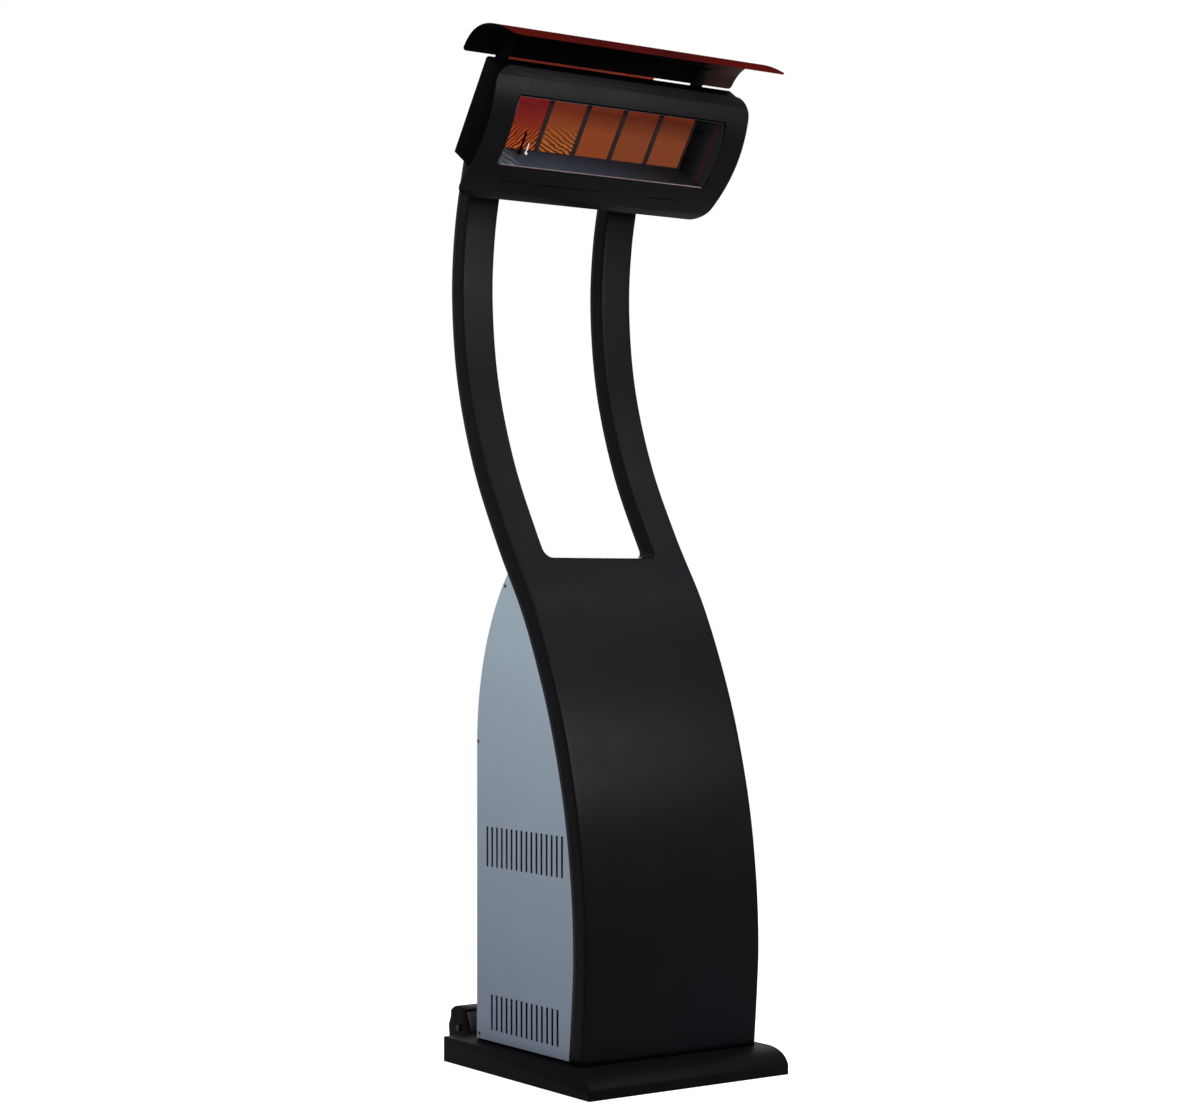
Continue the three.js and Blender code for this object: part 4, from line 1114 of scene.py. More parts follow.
@dataclass
class FrontFrame(Assembly):
    """The S-curved front sheet with its two arms, and the plates behind the arms."""

    width: float = 0.473
    depth: float = 0.047
    wall: float = 0.002
    bend: float = 0.003
    foot: float = 0.0573
    top: float = 2.140
    sill: float = 1.150
    corner: float = 0.020
    arm: float = 0.083
    cover_wall: float = 0.0015
    cover_foot: float = 1.1175
    cover_top_gap: float = 0.004
    row_height: float = 0.012
    curve: tuple[Point, ...] = (
        (0.078, 0.0573), (0.066, 0.200), (0.062, 0.300), (0.0705, 0.440), (0.0955, 0.600), (0.139, 0.760),
        (0.193, 0.900), (0.268, 1.050), (0.3675, 1.200), (0.464, 1.371), (0.530, 1.557), (0.5545, 1.742),
        (0.544, 1.900), (0.509, 2.041), (0.475, 2.140),
    )

    def __post_init__(self) -> None:
        """Works out the front line and the window."""
        self.line = Line(spline(self.curve, 24)).extended(0.1)
        self.behind: dict[float, Line] = {}
        self.window = self.width / 2 - self.arm

    def point(self, across: float, height: float, back: float) -> Vector:
        """A point of the sheet.

        Args:
            across: Its X.
            height: Its height.
            back: Its distance behind the front line.

        Returns:
            The point.
        """
        key = round(back, 7)
        if key not in self.behind:
            self.behind[key] = self.line.beside(-back)
        return Vector((across, self.bench.depth(self.behind[key].at_height(height)), height))

    def fold(self) -> list[Point]:
        """The folded edge.

        Returns:
            Pairs of a distance in from the side and a distance back.
        """
        turns = [(math.pi / 2 * i / 5) for i in range(6)]
        arc = [(self.bend * (1 - math.sin(a)), self.bend * (1 - math.cos(a))) for a in turns]
        return [*arc, *((0.0, self.bend + (self.depth - self.bend) * i / 4) for i in range(1, 5))]

    def heights(self, low: float, high: float) -> list[float]:
        """Evenly spread heights between two, both included."""
        count = max(round((high - low) / self.row_height), 1)
        return [low, *levels_between(low, high, count), high]

    def build(self) -> None:
        """Builds and dresses the front frame and the arm covers."""
        add = self.bench.add
        add("front_sheet", self.sheet(), Slot.BLACK_COAT, "frame", ("front_frame",), wall=self.wall, sharp=40)
        for side, sign in SIDES:
            name = f"arm_cover_{side}"
            add(f"{name}_sheet", self.cover(sign), Slot.BLACK_COAT, "frame", (name,), sharp=30)

    def sheet(self) -> Mesh:
        """The front surface, its folded edges and the window's rim, as one sheet.

        Returns:
            The sheet.
        """
        half, centre = self.width / 2, self.sill + self.corner
        straight = self.window - self.corner
        edge = self.fold()
        side = [(half - inset, back) for inset, back in reversed(edge)]
        arc = [math.pi / 2 * i / 10 for i in range(11)]
        low, tall = self.heights(self.foot, self.sill - self.bend), self.heights(centre, self.top)[1:]

        def corner(angle: float, grow: float) -> Point:
            """A place on the window's round corner, moved outwards."""
            reach = self.corner + grow
            return straight + reach * math.sin(angle), centre - reach * math.cos(angle)

        def row(inner: float, height: float) -> list[Vector]:
            """The points at a height, from the folded side to the inner end."""
            flat = [half - self.bend + (inner - half + self.bend) * i / 10 for i in range(1, 11)]
            return [self.point(x, height, back) for x, back in (*side, *((x, 0) for x in flat))]

        parts = []
        for sign in (-1, 1):
            rows = [row(straight, z) for z in low]
            rows += [row(*corner(a, self.bend)) for a in arc[1:]]
            rows += [row(self.window + self.bend, z) for z in tall]
            rim = [[self.point(*corner(a, inset), back) for inset, back in edge] for a in arc]
            rim += [[self.point(self.window + inset, z, back) for inset, back in edge] for z in tall]
            ring = [*side, *((self.window + inset, back) for inset, back in edge)]
            cap = bmesh.new()
            cap.faces.new([cap.verts.new(self.point(x, self.top, back)) for x, back in ring])
            parts += [moved(mesh, Matrix.Diagonal((sign, 1, 1, 1))) for mesh in (grid(rows), grid(rim), cap)]
        flat = [straight * (2 * i / 24 - 1) for i in range(25)]
        parts.append(grid([[self.point(x, z, 0) for x in flat] for z in low]))
        parts.append(grid([[self.point(x, self.sill - inset, back) for inset, back in edge] for x in flat]))
        mesh = outward(joined(*parts, gap=0.02 * MM))
        if min(mesh.faces, key=lambda f: f.calc_center_median().y).normal.y > 0:
            bmesh.ops.reverse_faces(mesh, faces=mesh.faces)
        return mesh

    def cover(self, sign: int) -> Mesh:
        """The curved plate that closes an arm from behind.

        Args:
            sign: -1 on the left, 1 on the right.

        Returns:
            The plate.
        """
        low, high = self.cover_foot, self.top - self.cover_top_gap - SEAT
        inner, outer = self.window + self.wall + SEAT, self.width / 2 - self.wall - SEAT
        flat = plate(rounded_box((inner, low), (outer, high), 1 * MM), self.cover_wall)
        back = self.depth - self.cover_wall / 2
        mesh = bent(flat, self.heights(low, high), lambda x, z, w: self.point(x, z, back + w))
        return outward(moved(mesh, Matrix.Diagonal((sign, 1, 1, 1))))


# ---------------------------------------------------------------- cabinet


@dataclass
class Vents:
    """A row of upright slots."""

    count: int
    start: float
    end: float
    foot: float
    top: float
    slot: float = 0.008
    corner: float = 0.0012

    def holes(self) -> list[list[Point]]:
        """The slots' outlines as depth and height."""
        pitch, half = (self.end - self.start) / (self.count - 1), self.slot / 2
        places = [self.start + i * pitch for i in range(self.count)]
        return [rounded_box((p - half, self.foot), (p + half, self.top), self.corner, 3) for p in places]


@dataclass
class Cabinet(Assembly):
    """The grey side panels, the door, the curved cover over it and what stands inside."""

    front: FrontFrame
    wall: float = 0.0015
    overlap: float = 0.020
    foot: float = 0.063
    rear: float = 0.496
    bend_start: float = 0.736
    bend_low: float = 0.880
    bend_high: Point = (0.446, 1.022)
    apex: Point = (0.3686, 1.1145)
    lip: float = 0.016
    lip_top: float = 0.733
    handle: Point = (-0.190, 0.028)
    handle_radius: float = 0.006
    handle_bend: float = 0.011
    handle_inset: float = 0.012
    collar: tuple[Point, ...] = ((0, 0), (0.010, 0), (0.010, 0.0016), (0.0086, 0.003), (0, 0.003))
    screws: tuple[Point, ...] = ((0.485, 0.075), (0.4905, 0.734), (0.379, 1.086))
    screw_radius: float = 0.0036
    screw_height: float = 0.0016
    opening_side: float = 0.070
    opening_inset: float = 0.006
    tube_swell: float = 0.00045
    lower_vents: Vents = field(default_factory=lambda: Vents(14, 0.172, 0.434, 0.088, 0.168))
    upper_vents: Vents = field(default_factory=lambda: Vents(16, 0.155, 0.453, 0.454, 0.544))

    def __post_init__(self) -> None:
        """Works out the cabinet's curved rear line."""
        self.outer = self.front.width / 2 - self.front.wall - SEAT
        controls = [(self.rear, self.bend_start), (self.rear, self.bend_low), self.bend_high, self.apex]
        self.rear_line = Line(bezier(controls, 48))

    def build(self) -> None:
        """Builds and dresses the cabinet."""
        for side, sign in SIDES:
            self.side_panel(f"side_panel_{side}", sign)
            for i, (depth, height) in enumerate(self.screws):
                place = Vector((sign * (self.outer + SEAT), self.bench.depth(depth), height))
                self.side_screw(f"side_screw_{side}_{i + 1}", place, Axis.X if sign > 0 else Axis.MINUS_X)
        refined = self.bench.refined
        refined("rear_door", Slot.GREY_COAT, "rear_door", 0.5)
        refined("door_hinge_lower", Slot.DARK_STEEL, "frame", 0.4, 35)
        refined("door_hinge_upper", Slot.DARK_STEEL, "frame", 0.4, 35)
        self.door_handle()
        self.cover()
        refined("cabinet_tray", Slot.BLACK_COAT, "frame", 0.4)
        refined("cylinder_ring", Slot.BLACK_COAT, "frame", 0.6)
        refined("door_catch", Slot.BLACK_PLASTIC, "frame", 1.2)
        self.gas_tube()

    def side_panel(self, name: str, sign: int) -> None:
        """A flat grey panel with two rows of slots and a lip at the door.

        Args:
            name: The panel's node.
            sign: -1 on the left, 1 on the right.
        """
        hidden = self.front.line.beside(self.overlap - self.front.depth)
        heights = self.front.heights(self.foot, self.apex[1] - self.overlap)
        front_line = [(hidden.at_height(z), z) for z in reversed(heights)]
        outline = [(self.rear, self.foot), *map(tuple, self.rear_line.points), *front_line]
        mesh = plate(outline, self.wall, [*self.lower_vents.holes(), *self.upper_vents.holes()], 0.25 * MM)
        upright = Matrix(((0, 0, 1, 0), (1, 0, 0, 0), (0, 1, 0, 0), (0, 0, 0, 1)))
        middle = sign * (self.outer - self.wall / 2)
        mesh.transform(Matrix.Translation((middle, self.bench.front, 0)) @ upright)
        left, right = sorted((sign * (self.outer - self.lip), sign * (self.outer - 0.2 * MM)))
        low = (left, self.bench.depth(self.rear - self.wall), self.foot)
        lip = block(low, (right, self.bench.depth(self.rear), self.lip_top), 0.3 * MM)
        whole = joined(outward(mesh), lip)
        self.bench.add(f"{name}_sheet", whole, Slot.GREY_COAT, "frame", (name,), sharp=20)

    def side_screw(self, node: str, place: Vector, axis: Axis) -> None:
        """A black domed screw with a hexagonal socket.

        Args:
            node: The screw's node.
            place: The middle of its seat.
            axis: The way it faces.
        """
        radius, height = self.screw_radius, self.screw_height
        turns = [2 * math.pi * i / 24 for i in range(25)]
        face = math.pi / 6

        def ring(size: float, level: float, hexagonal: bool) -> list[Vector]:
            """A ring of the screw's head, given as shares of its radius and height."""
            shares = [math.cos(face) / math.cos(face - a % (2 * face)) if hexagonal else 1 for a in turns]
            reach = [share * size * radius for share in shares]
            return [Vector((r * math.cos(a), r * math.sin(a), level * height)) for r, a in zip(reach, turns)]

        rings = (
            (0.0, 0.35, False), (0.5, 0.35, True), (0.5, 0.97, True), (0.575, 1, True), (0.72, 1, False),
            (0.9, 0.8, False), (1, 0.4, False), (1, 0, False), (0, 0, False),
        )
        mesh = welded(grid([ring(*each) for each in rings]))
        mesh = outward(moved(mesh, Matrix.Translation(place) @ axis.value))
        self.bench.add(f"{node}_head", mesh, Slot.DARK_STEEL, "frame", (node,))

    def door_handle(self) -> None:
        """The door's bar handle with its two collars."""
        across, stand = self.handle
        low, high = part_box("door_handle")
        foot, top = low.z + self.handle_inset, high.z - self.handle_inset
        ends = [(low.y, foot), (low.y + stand, foot), (low.y + stand, top), (low.y, top)]
        path = rounded_path([Vector((across, y, z)) for y, z in ends], self.handle_bend)
        collars = [turned(self.collar, (across, low.y, height), Axis.Y) for height in (foot, top)]
        mesh = joined(bar(path, self.handle_radius, 28), *collars)
        self.bench.add("door_handle_bar", mesh, Slot.BLACK_PLASTIC, "rear_door", ("door_handle",), sharp=40)

    def cover(self) -> None:
        """The curved sheet above the door, with the opening for the controls."""
        half, side = self.outer - self.wall - SEAT, self.opening_side + SEAT
        low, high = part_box("control_panel")
        foot = low.z + self.opening_inset - SEAT - self.bend_start
        top = high.z - self.opening_inset + SEAT - self.bend_start
        hole = rounded_box((-side, foot), (side, top), 1 * MM, 3)
        flat = plate(rounded_box((-half, 0), (half, self.rear_line.length), 1 * MM, 3), self.wall, [hole])

        def place(across: float, along: float, above: float) -> Vector:
            """A point of the flat sheet, on the curve."""
            depth, height = self.rear_line.at(along, self.wall / 2 + above)
            return Vector((across, self.bench.depth(depth), height))

        mesh = bent(flat, levels_between(0, self.rear_line.length, 48), place)
        self.bench.add("rear_cover_sheet", mesh, Slot.GREY_COAT, "frame", ("rear_cover",), sharp=20)

    def gas_tube(self) -> None:
        """The gas tube made round. It is swollen first, as the rounding draws its facets in."""
        mesh = self.bench.solid("gas_tube", 0.2)
        mesh.normal_update()
        for vert in mesh.verts:
            vert.co += vert.normal * self.tube_swell
        tube = self.bench.add("gas_tube_shape", mesh, Slot.ZINC_STEEL, "frame", ("gas_tube",), sharp=60)
        rounding = tube.modifiers.new("round", "SUBSURF")
        rounding.levels = rounding.render_levels = 2


@dataclass
class Controls(Assembly):
    """The control panel on the rear cover, its knob and button, and the gas valve behind it."""

    knob_across: float = -0.033
    button_across: float = 0.036
    height: float = 0.810
    face: float = 0.504
    knob_radius: float = 0.021
    body_radius: float = 0.017
    skirt: float = 0.006
    body_length: float = 0.011
    spindle: tuple[Point, ...] = ((0, -0.014), (0.004, -0.014), (0.004, 0.001), (0, 0.001))
    flange_radius: float = 0.011
    flange_depth: float = 0.0094
    button_radius: float = 0.009
    button_dome: tuple[Point, ...] = ((0, 0.002), (0.0006, 0.0007), (0.002, 0), (0.004, 0.0004))
    mark_count: int = 7
    mark_step: float = math.radians(15)

    def build(self) -> None:
        """Builds and dresses the controls."""
        self.bench.refined("control_panel", Slot.BLACK_COAT, "frame", 0.8)
        self.bench.refined("gas_valve", Slot.BRASS, "frame", 0.6, 35)
        self.knob()
        self.button()
        self.marks()

    def knob(self) -> None:
        """The knob with its grip bar and pointer."""
        centre = Vector((self.knob_across, self.bench.depth(self.face) + SEAT, self.height))
        radius, body = self.knob_radius, self.body_radius
        skirt = [
            (0, 0), (radius, 0), (radius, self.skirt - 1.5 * MM), (radius - 1.5 * MM, self.skirt),
            (body, self.skirt + 0.3 * MM), (body - 0.3 * MM, self.body_length - 1 * MM),
            (body - 1.3 * MM, self.body_length), (0, self.body_length),
        ]
        home = Matrix.Translation(centre)
        grip = moved(blocks((-3.5, 10, -19, 3.5, 18, 19), edge=1.6), home)
        mesh = joined(turned(skirt, centre, Axis.Y, 64), grip, turned(self.spindle, centre, Axis.Y))
        add = self.bench.add
        add("control_knob_body", mesh, Slot.BLACK_PLASTIC, "control_knob", ("control_knob",), sharp=35)
        pointer = moved(blocks((-0.8, 17.9, 4, 0.8, 18.2, 17), edge=0.1), home)
        add("control_knob_pointer", pointer, Slot.WHITE_CERAMIC, "control_knob")

    def button(self) -> None:
        """The domed ignition button."""
        low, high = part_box("ignition_button")
        length, radius, flange = high.y - low.y, self.button_radius, self.flange_radius
        shoulder = length - self.flange_depth
        dome = [(radius - inner, length - under) for inner, under in self.button_dome]
        profile = [
            (0, 0), (flange, 0), (flange, shoulder), (radius, shoulder), *dome, (0, length - 0.9 * MM)
        ]
        mesh = turned(profile, (self.button_across, low.y, self.height), Axis.Y, 48)
        name = "ignition_button"
        self.bench.add(f"{name}_cap", mesh, Slot.BLACK_PLASTIC, name, (name,), sharp=30)

    def marks(self) -> None:
        """Plain raised marks round the knob, from off to high."""
        home = Matrix.Translation((self.knob_across, self.bench.depth(self.face), self.height))
        marks = []
        for i in range(self.mark_count):
            mark = blocks((-0.5, -0.1, 24, 0.5, 0.25, 26 + 0.5 * i), edge=0.1)
            marks.append(moved(mark, home @ Matrix.Rotation(self.mark_step * i, 4, "Y")))
        self.bench.add("knob_marks", joined(*marks), Slot.WHITE_CERAMIC, "frame")


# ---------------------------------------------------------------- head support


@dataclass
class Support(Assembly):
    """The beam between the arms, the tilt brackets and the two tilt knobs."""

    pivot_depth: float = 0.4054
    pivot_height: float = 2.1571
    knob_seat: float = 0.1203
    knob_back: float = 0.007
    knob_length: float = 0.020
    knob_radius: float = 0.0169
    lobe: float = 0.003
    lobes: int = 5

    def build(self) -> None:
        """Builds and dresses the support."""
        self.bench.refined("cross_beam", Slot.BLACK_COAT, "frame", 1.5)
        for side, sign in SIDES:
            self.bench.refined(f"tilt_bracket_{side}", Slot.BLACK_COAT, "frame", 0.7, 35)
            self.knob(f"tilt_knob_{side}", sign)

    def knob(self, name: str, sign: int) -> None:
        """A lobed hand knob with its bolt and nut.

        Args:
            name: The knob's node, which is also its body.
            sign: -1 on the left, 1 on the right.
        """
        centre = Vector((sign * self.knob_seat, self.bench.depth(self.pivot_depth), self.pivot_height))
        axis = Axis.X if sign > 0 else Axis.MINUS_X
        turns = [2 * math.pi * i / 80 for i in range(81)]

        def lobed(scale: float, along: float) -> list[Vector]:
            """A lobed ring of the knob."""
            reach = [(self.knob_radius + self.lobe * math.cos(self.lobes * a)) * scale for a in turns]
            return [Vector((r * math.cos(a), -r * math.sin(a), along)) for r, a in zip(reach, turns)]

        start, end = self.knob_back, self.knob_length
        rings = (
            (0, start), (0.9, start), (1, start + 1.5 * MM), (1, end - 3 * MM), (0.95, end - 0.9 * MM),
            (0.84, end), (0.4, end), (0, end),
        )
        head = moved(welded(grid([lobed(*ring) for ring in rings])), Matrix.Translation(centre) @ axis.value)
        collar = turned([(0, 0), (9 * MM, 0), (9 * MM, 8 * MM), (0, 8 * MM)], centre, axis)
        low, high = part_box(name)
        foot = min(abs(low.x), abs(high.x)) - self.knob_seat
        shank = [(0, foot), (4.4 * MM, foot), (5 * MM, foot + 0.8 * MM), (5 * MM, 1 * MM), (0, 1 * MM)]
        nut_end = foot + 7 * MM
        nut = [(0, foot), (8 * MM, foot), (9 * MM, foot + 0.7 * MM), (9 * MM, nut_end), (0, nut_end)]
        bolt = joined(turned(shank, centre, axis), turned(nut, centre, axis, 6))
        body = joined(outward(head), collar)
        self.bench.add(f"{name}_body", body, Slot.BLACK_PLASTIC, name, (name,), sharp=35)
        self.bench.add(f"{name}_bolt", bolt, Slot.ZINC_STEEL, name, sharp=35)


# ---------------------------------------------------------------- head


@dataclass
class Head(Assembly):
    """The tilting burner head, in its own frame: the burner faces -Y and its top is +Z."""

    support: Support
    tilt: float = math.radians(35)
    fascia_side: float = 0.350
    fascia_wall: float = 0.0015
    fascia_curve: tuple[Point, ...] = ((-0.105, 0.150), (-0.1915, 0.012), (-0.1029, -0.1714))
    fascia_corner: float = 0.042
    window_side: float = 0.288
    window_top: float = 0.096
    window_foot: float = -0.071
    window_corner: float = 0.008
    louvre_height: float = -0.115
    louvre_tall: float = 0.0032
    louvre_back: float = 0.002
    louvres: tuple[Point, ...] = ((-0.255, -0.172), (-0.163, 0.012), (0.149, 0.236))
    tile_width: float = 0.094
    tile_height: float = 0.132
    tile_thick: float = 0.012
    tile_gap: float = 0.0075
    tile_face: float = -0.069
    tile_middle: float = 0.006
    tile_cells: tuple[int, int] = (56, 80)
    cell_depth: float = 0.0005
    hood_side: float = 0.374
    hood_wall: float = 0.0015
    hood_curve: tuple[Point, ...] = ((0.0049, 0.1248), (0.003, 0.195), (-0.052, 0.2322), (-0.168, 0.2435))
    hood_corner: float = 0.018
    baffle_corner: float = 0.125
    baffle_reach: float = 0.006
    baffle_drop: float = 0.007
    wall_front: Colour = (0.287, -0.142, 0)
    wall_rear: Colour = (0.254, -0.0711, 0)
    clip_heights: Point = (0.043, -0.030)
    rod_depth: float = -0.088
    rod_base: float = 0.0044
    rod_collar: float = -0.056
    heats: tuple[GlowingCeramic, ...] = (
        GlowingCeramic(
            edge=srgb(126, 32, 18),
            top=srgb(104, 14, 20),
            foot=srgb(122, 34, 14),
            ripple_crest=srgb(196, 96, 28),
            gap=srgb(52, 12, 8),
            ripple_top=0.44,
            ripple_turn=0.95,
        ),
        GlowingCeramic(
            top=srgb(106, 36, 16),
            foot=srgb(130, 62, 26),
            ripple_crest=srgb(178, 104, 38),
            gap=srgb(72, 24, 10),
            ripple_top=0.5,
            ripple_turn=-0.45,
        ),
        GlowingCeramic(foot=srgb(130, 60, 26)),
        GlowingCeramic(),
        GlowingCeramic(top=srgb(82, 28, 14)),
    )

    def __post_init__(self) -> None:
        """Works out where the head stands."""
        place = (0, self.bench.depth(self.support.pivot_depth), self.support.pivot_height)
        self.placed = Matrix.Translation(place) @ Matrix.Rotation(self.tilt, 4, "X")

    def build(self) -> None:
        """Builds and dresses the head."""
        # A darker copy of the black coat on the housing and yoke: painted shade.
        shaded_black = Coat(srgb(3, 3, 4), srgb(2, 2, 3), 0.5, 0.004).material("housing_coat")
        scorched = Coat(srgb(36, 28, 28), srgb(29, 21, 23), 0.6, 0.03, tones=Clouds(0.05))
        refined = self.bench.refined
        refined("head_housing", Slot.BLACK_COAT, "head", 0.8, finish=shaded_black)
        refined("head_yoke", Slot.BLACK_COAT, "head", 0.6, 35, shaded_black)
        shaded_reflector = ReflectorWithPaintedShade().material("reflector_dulled", self.placed)
        refined("reflector", Slot.REFLECTOR_STEEL, "head", 0.25, finish=shaded_reflector)
        self.clips()
        refined("tile_frame", Slot.DARK_STEEL, "head", 0.3, finish=scorched.material("scorched_steel"))
        refined("burner_plenum", Slot.DARK_STEEL, "head", 0.5)
        refined("mixer_tube", Slot.ZINC_STEEL, "head", 0.4, 35)
        refined("gas_inlet", Slot.ZINC_STEEL, "head", 0.3, 50)
        refined("hood_post_left", Slot.BLACK_COAT, "head", 0.5, 35)
        refined("hood_post_right", Slot.BLACK_COAT, "head", 0.5, 35)
        self.baffle()
        self.fascia()
        self.hood()
        for i, heat in enumerate(self.heats):
            self.tile(i, heat)
        sensor = Coat(srgb(9, 7, 8), srgb(5, 4, 4), 0.6, 0.01).material("sensor_coat")
        self.rod("flame_sensor", Slot.DARK_STEEL, -0.205, 2.6 * MM, sensor)
        self.rod("igniter", Slot.WHITE_CERAMIC, -0.189, 1.9 * MM)

    def baffle(self) -> None:
        """The heat-tinted strip behind the slot, whose upper corner reaches behind the left post."""
        piece = self.bench.refined("flue_baffle", Slot.HEAT_TINTED_STEEL, "head", 0.3)
        inner = self.placed.inverted()
        ends = [(inner @ vert.co, vert) for vert in piece.data.vertices]
        left = min(place.x for place, _ in ends)
        for place, vert in ends:
            if place.z > self.baffle_corner:
                reach = self.baffle_reach if place.x < left + 1 * MM else 0.0
                vert.co += self.placed.to_3x3() @ Vector((-reach, 0, -self.baffle_drop))

    def clips(self) -> None:
        """Two spring clips that hold the reflector's right wall."""
        rear = Vector(self.wall_rear)
        along = (Vector(self.wall_front) - rear).normalized()
        turn = Matrix((along, (along.y, -along.x, 0), (0, 0, 1))).transposed().to_4x4()
        parts = []
        for height in self.clip_heights:
            clip = joined(
                blocks((3, 1.6, -1.6, 22, 2.6, 1.6), edge=0.4), blocks((3, 1.6, -3.2, 6, 3.4, 3.2), edge=0.5)
            )
            parts.append(moved(clip, self.placed @ Matrix.Translation(rear + Vector((0, 0, height))) @ turn))
        self.bench.add("reflector_clips", outward(joined(*parts)), Slot.BLACK_COAT, "head")

    def fascia(self) -> None:
        """The convex front sheet with the burner window and the louvres, and a hem along the window's foot
        whose pale colour is a painted highlight.
        """
        line = Line(bezier(self.fascia_curve, 80)).extended(0.02)
        top, foot = self.fascia_curve[0][1], self.fascia_curve[-1][1]
        side, window, tall = self.fascia_side, self.window_side, self.louvre_tall
        outline = rounded_box((-side, foot), (side, top), self.fascia_corner, 16)
        holes = [rounded_box((-window, self.window_foot), (window, self.window_top), self.window_corner)]
        for left, right in self.louvres:
            low, high = self.louvre_height - tall / 2, self.louvre_height + tall / 2
            holes.append(rounded_box((left, low), (right, high), tall * 0.45, 4))
        walls = {}

        def shape(across: float, height: float, above: float) -> Vector:
            """A point of the flat sheet, on the curve."""
            key = round(above, 6)
            if key not in walls:
                walls[key] = line.beside(self.fascia_wall / 2 - above)
            return Vector((across, walls[key].at_height(height), height))

        flat = plate(outline, self.fascia_wall, holes, 0.4 * MM)
        parts = [bent(flat, levels_between(foot, top, 64), shape)]
        deep = (self.fascia_wall + self.louvre_back) / 2 + 0.05 * MM
        for left, right in self.louvres:
            low = (left - 3 * MM, self.louvre_height - 5 * MM)
            high = (right + 3 * MM, self.louvre_height + 5 * MM)
            backing = plate(rounded_box(low, high, 1 * MM, 3), self.louvre_back)
            parts.append(bent(backing, (self.louvre_height,), lambda x, z, w: shape(x, z, w - deep)))
        mesh = moved(joined(*parts, gap=0.001 * MM), self.placed)
        self.bench.add("fascia_sheet", mesh, Slot.BLACK_COAT, "head", ("fascia",), sharp=20)
        height = self.window_foot + 0.5 * MM
        reach = window - self.window_corner
        hem = bar([shape(reach * share, height, 0) for share in (-1, -0.5, 0, 0.5, 1)], 1.2 * MM, 12)
        # The hem's pale colour is a painted highlight along the window's lower edge.
        painted_highlight = Coat(srgb(104, 86, 88), srgb(78, 64, 66), 0.5, 0.1).material("worn_hem")
        self.bench.add("window_hem", moved(hem, self.placed), Slot.DARK_STEEL, "head", sharp=60, finish=painted_highlight)

    def hood(self) -> None:
        """The curved sheet over the head, dark on its underside and at its ends, with painted shade there and
        painted light beyond the right post.
        """
        line = Line(bezier(self.hood_curve, 96))
        side, corner = self.hood_side, self.hood_corner
        outline = rounded_box((-side, 0), (side, line.length), [corner / 2, corner / 2, corner, corner], 12)
        flat = plate(outline, self.hood_wall, (), 0.4 * MM)
        for face in flat.faces:
            middle = face.calc_center_median()
            face.material_index = int(middle.z < -self.hood_wall / 4 or abs(middle.x) > side - 0.5 * MM)

        def shape(across: float, along: float, above: float) -> Vector:
            """A point of the flat sheet, on the curve."""
            return Vector((across, *line.at(along, -self.hood_wall / 2 - above)))

        mesh = moved(bent(flat, levels_between(0, line.length, 72), shape), self.placed)
        sheet = self.bench.add("hood_sheet", mesh, Slot.HOOD_COAT, "head", ("hood",), sharp=20)
        # The underside's finish: dark with painted shade, and painted light at its right end.
        sheet.data.materials.append(PaintedLightUnderside().material("hood_underside", self.placed))

    def tile(self, index: int, heat: GlowingCeramic) -> None:
        """A burner tile, its face a close waffle of shallow cells.

        Args:
            index: The tile's place from the left, from 0.
            heat: How it glows.
        """
        middle = (index - 2) * (self.tile_width + self.tile_gap)
        columns, lines = self.tile_cells
        rows = []
        for j in range(lines + 1):
            z = self.tile_middle + self.tile_height / 2 * (2 * j / lines - 1)
            row = []
            for i in range(columns + 1):
                sunk = 0 < i < columns and 0 < j < lines and i % 2 and j % 2
                x = middle + self.tile_width / 2 * (2 * i / columns - 1)
                row.append(Vector((x, self.tile_face + (self.cell_depth if sunk else 0.0), z)))
            rows.append(row)
        mesh = grid(rows)
        rim = [e for e in mesh.edges if e.is_boundary]
        for part in bmesh.ops.extrude_edge_only(mesh, edges=rim)["geom"]:
            if isinstance(part, bmesh.types.BMVert):
                part.co.y = self.tile_face + self.tile_thick
        bmesh.ops.holes_fill(mesh, edges=[e for e in mesh.edges if e.is_boundary])
        node = f"tile_{index + 1}"
        glow = heat.material(f"{node}_glow", self.placed)
        mesh = outward(moved(mesh, self.placed))
        self.bench.add(f"{node}_ceramic", mesh, Slot.BURNER_CERAMIC, "head", (node,), sharp=60, finish=glow)

    def rod(
        self, node: str, slot: Slot, across: float, radius: float, finish: Material | None = None
    ) -> None:
        """A rod on a ceramic base, in front of the first tile.

        Args:
            node: The rod's node.
            slot: Its finish.
            across: Where it stands.
            radius: Its radius.
            finish: The slot's finish as it is on this piece alone.
        """
        heights = [(self.placed.inverted() @ v.co).z for v in frame["nodes"][node].data.vertices]
        low, base = min(heights), self.rod_base
        length, collar = max(heights) - low, self.rod_collar - low
        profile = [
            (0, 0), (base, 0), (base, collar - 2 * MM), (base - 0.6 * MM, collar - 1 * MM),
            (base - 2 * MM, collar), (radius, collar + 0.5 * MM), (radius, length - radius),
            (radius * 0.7, length - radius * 0.25), (0, length),
        ]
        mesh = moved(turned(profile, (across, self.rod_depth, low)), self.placed)
        self.bench.add(f"{node}_rod", mesh, slot, "head", (node,), sharp=40, finish=finish)


# ---------------------------------------------------------------- studio


@dataclass
class Lamp:
    """A soft square lamp that looks at a point."""

    name: str
    place: Colour
    target: Colour
    size: float
    power: float

    def build(self) -> None:
        """Hangs the lamp."""
        data = bpy.data.lights.new(self.name, "AREA")
        data.size, data.energy = self.size, self.power
        lamp = bpy.data.objects.new(self.name, data)
        lamp.location = self.place
        way = Vector(self.target) - Vector(self.place)
        lamp.rotation_euler = way.to_track_quat("-Z", "Y").to_euler()
        bpy.context.scene.collection.objects.link(lamp)


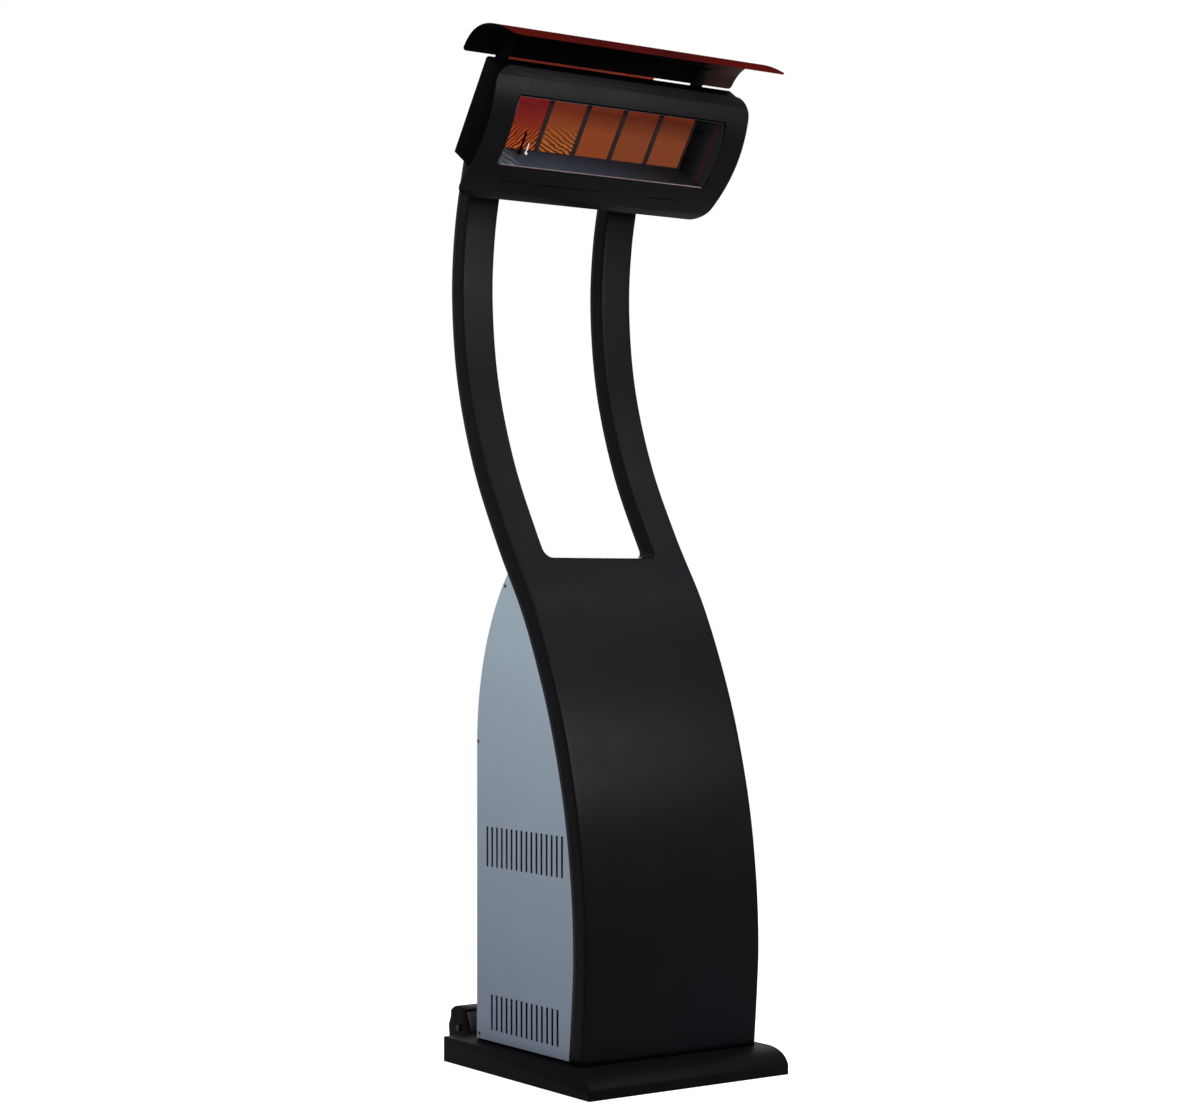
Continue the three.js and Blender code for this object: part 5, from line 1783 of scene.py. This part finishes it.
@dataclass
class Studio:
    """A pale floor, a white surround, soft lamps and the camera."""

    floor_size: float = 60.0
    floor_colour: Colour = (0.4, 0.4, 0.4)
    floor_lift: float = 0.92
    ambient: float = 0.2
    lamps: tuple[Lamp, ...] = (
        Lamp("side", (-1.9, -0.7, 3.0), (0, 0, 1.0), 1.4, 77),
        Lamp("sheen", (1.2, -2.5, 1.9), (-0.2, -0.22, 0.75), 0.62, 100),
        Lamp("head", (0.85, -2.4, 2.65), (-0.3, -0.05, 2.2), 0.6, 32),
        Lamp("upper", (1.6, -1.3, 3.4), (0, 0.05, 1.2), 1.1, 38),
        Lamp("rear", (2.4, 3.2, 3.0), (0, 0, 1.0), 2.0, 90),
    )
    camera_place: Colour = (-3.3411, -4.7261, 1.0637)
    camera_turn: float = 0.6148
    camera_rise: float = 0.0141
    focal_pixels: float = 2543.94
    frame_pixels: float = 1200.0
    sensor: float = 36.0

    def build(self) -> None:
        """Sets up the studio."""
        self.floor()
        self.surround()
        for lamp in self.lamps:
            lamp.build()
        self.camera()
        bpy.context.scene.view_settings.view_transform = "Standard"

    def floor(self) -> None:
        """The pale floor, which keeps the heater's shadow."""
        board = Board("floor")
        board.set(
            Base_Color=self.floor_colour,
            Roughness=0.9,
            Specular_IOR_Level=0.0,
            Emission_Color=(1, 1, 1),
            Emission_Strength=board.math("MULTIPLY", board.seen(), self.floor_lift),
        )
        half = self.floor_size / 2
        mesh = bpy.data.meshes.new("floor")
        ends = [(-half, -half, 0), (half, -half, 0), (half, half, 0), (-half, half, 0)]
        mesh.from_pydata(ends, [], [(0, 1, 2, 3)])
        mesh.materials.append(board.material)
        floor = bpy.data.objects.new("floor", mesh)
        bpy.context.scene.collection.objects.link(floor)

    def surround(self) -> None:
        """A white surround that lights the heater at a plain level."""
        world = bpy.data.worlds.new("surround")
        bpy.context.scene.world = world
        world.use_nodes = True
        nodes = Nodes(world.node_tree)
        inputs = world.node_tree.nodes["Background"].inputs
        inputs["Color"].default_value = (1, 1, 1, 1)
        nodes.feed(inputs["Strength"], nodes.ranged(nodes.seen(), 0.0, 1.0, self.ambient, 1.0))

    def camera(self) -> None:
        """The camera, where the heater is seen from its front left."""
        data = bpy.data.cameras.new("camera")
        data.sensor_width = self.sensor
        data.lens = self.sensor * self.focal_pixels / self.frame_pixels
        camera = bpy.data.objects.new("camera", data)
        camera.location = self.camera_place
        camera.rotation_euler = (math.pi / 2 + self.camera_rise, 0, -self.camera_turn)
        bpy.context.scene.collection.objects.link(camera)
        bpy.context.scene.camera = camera


# ---------------------------------------------------------------- the whole heater


def main() -> None:
    """Builds the heater's looks in order."""
    logging.basicConfig(level=logging.INFO, format="%(name)s: %(message)s")
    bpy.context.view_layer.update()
    materials = {slot: finish.material(slot.value) for slot, finish in FINISHES.items()}
    bench = Bench(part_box("base_pan")[0].y, materials)
    front = FrontFrame(bench)
    support = Support(bench)
    cabinet, head = Cabinet(bench, front), Head(bench, support)
    for assembly in (Base(bench), front, cabinet, Controls(bench), support, head):
        before = set(bpy.data.objects)
        assembly.build()
        made = sorted(o.name for o in set(bpy.data.objects) - before)
        log.info("%s: %s", type(assembly).__name__, ", ".join(made))
    Studio().build()
    bpy.context.view_layer.update()


if __name__ == "__main__":
    main()
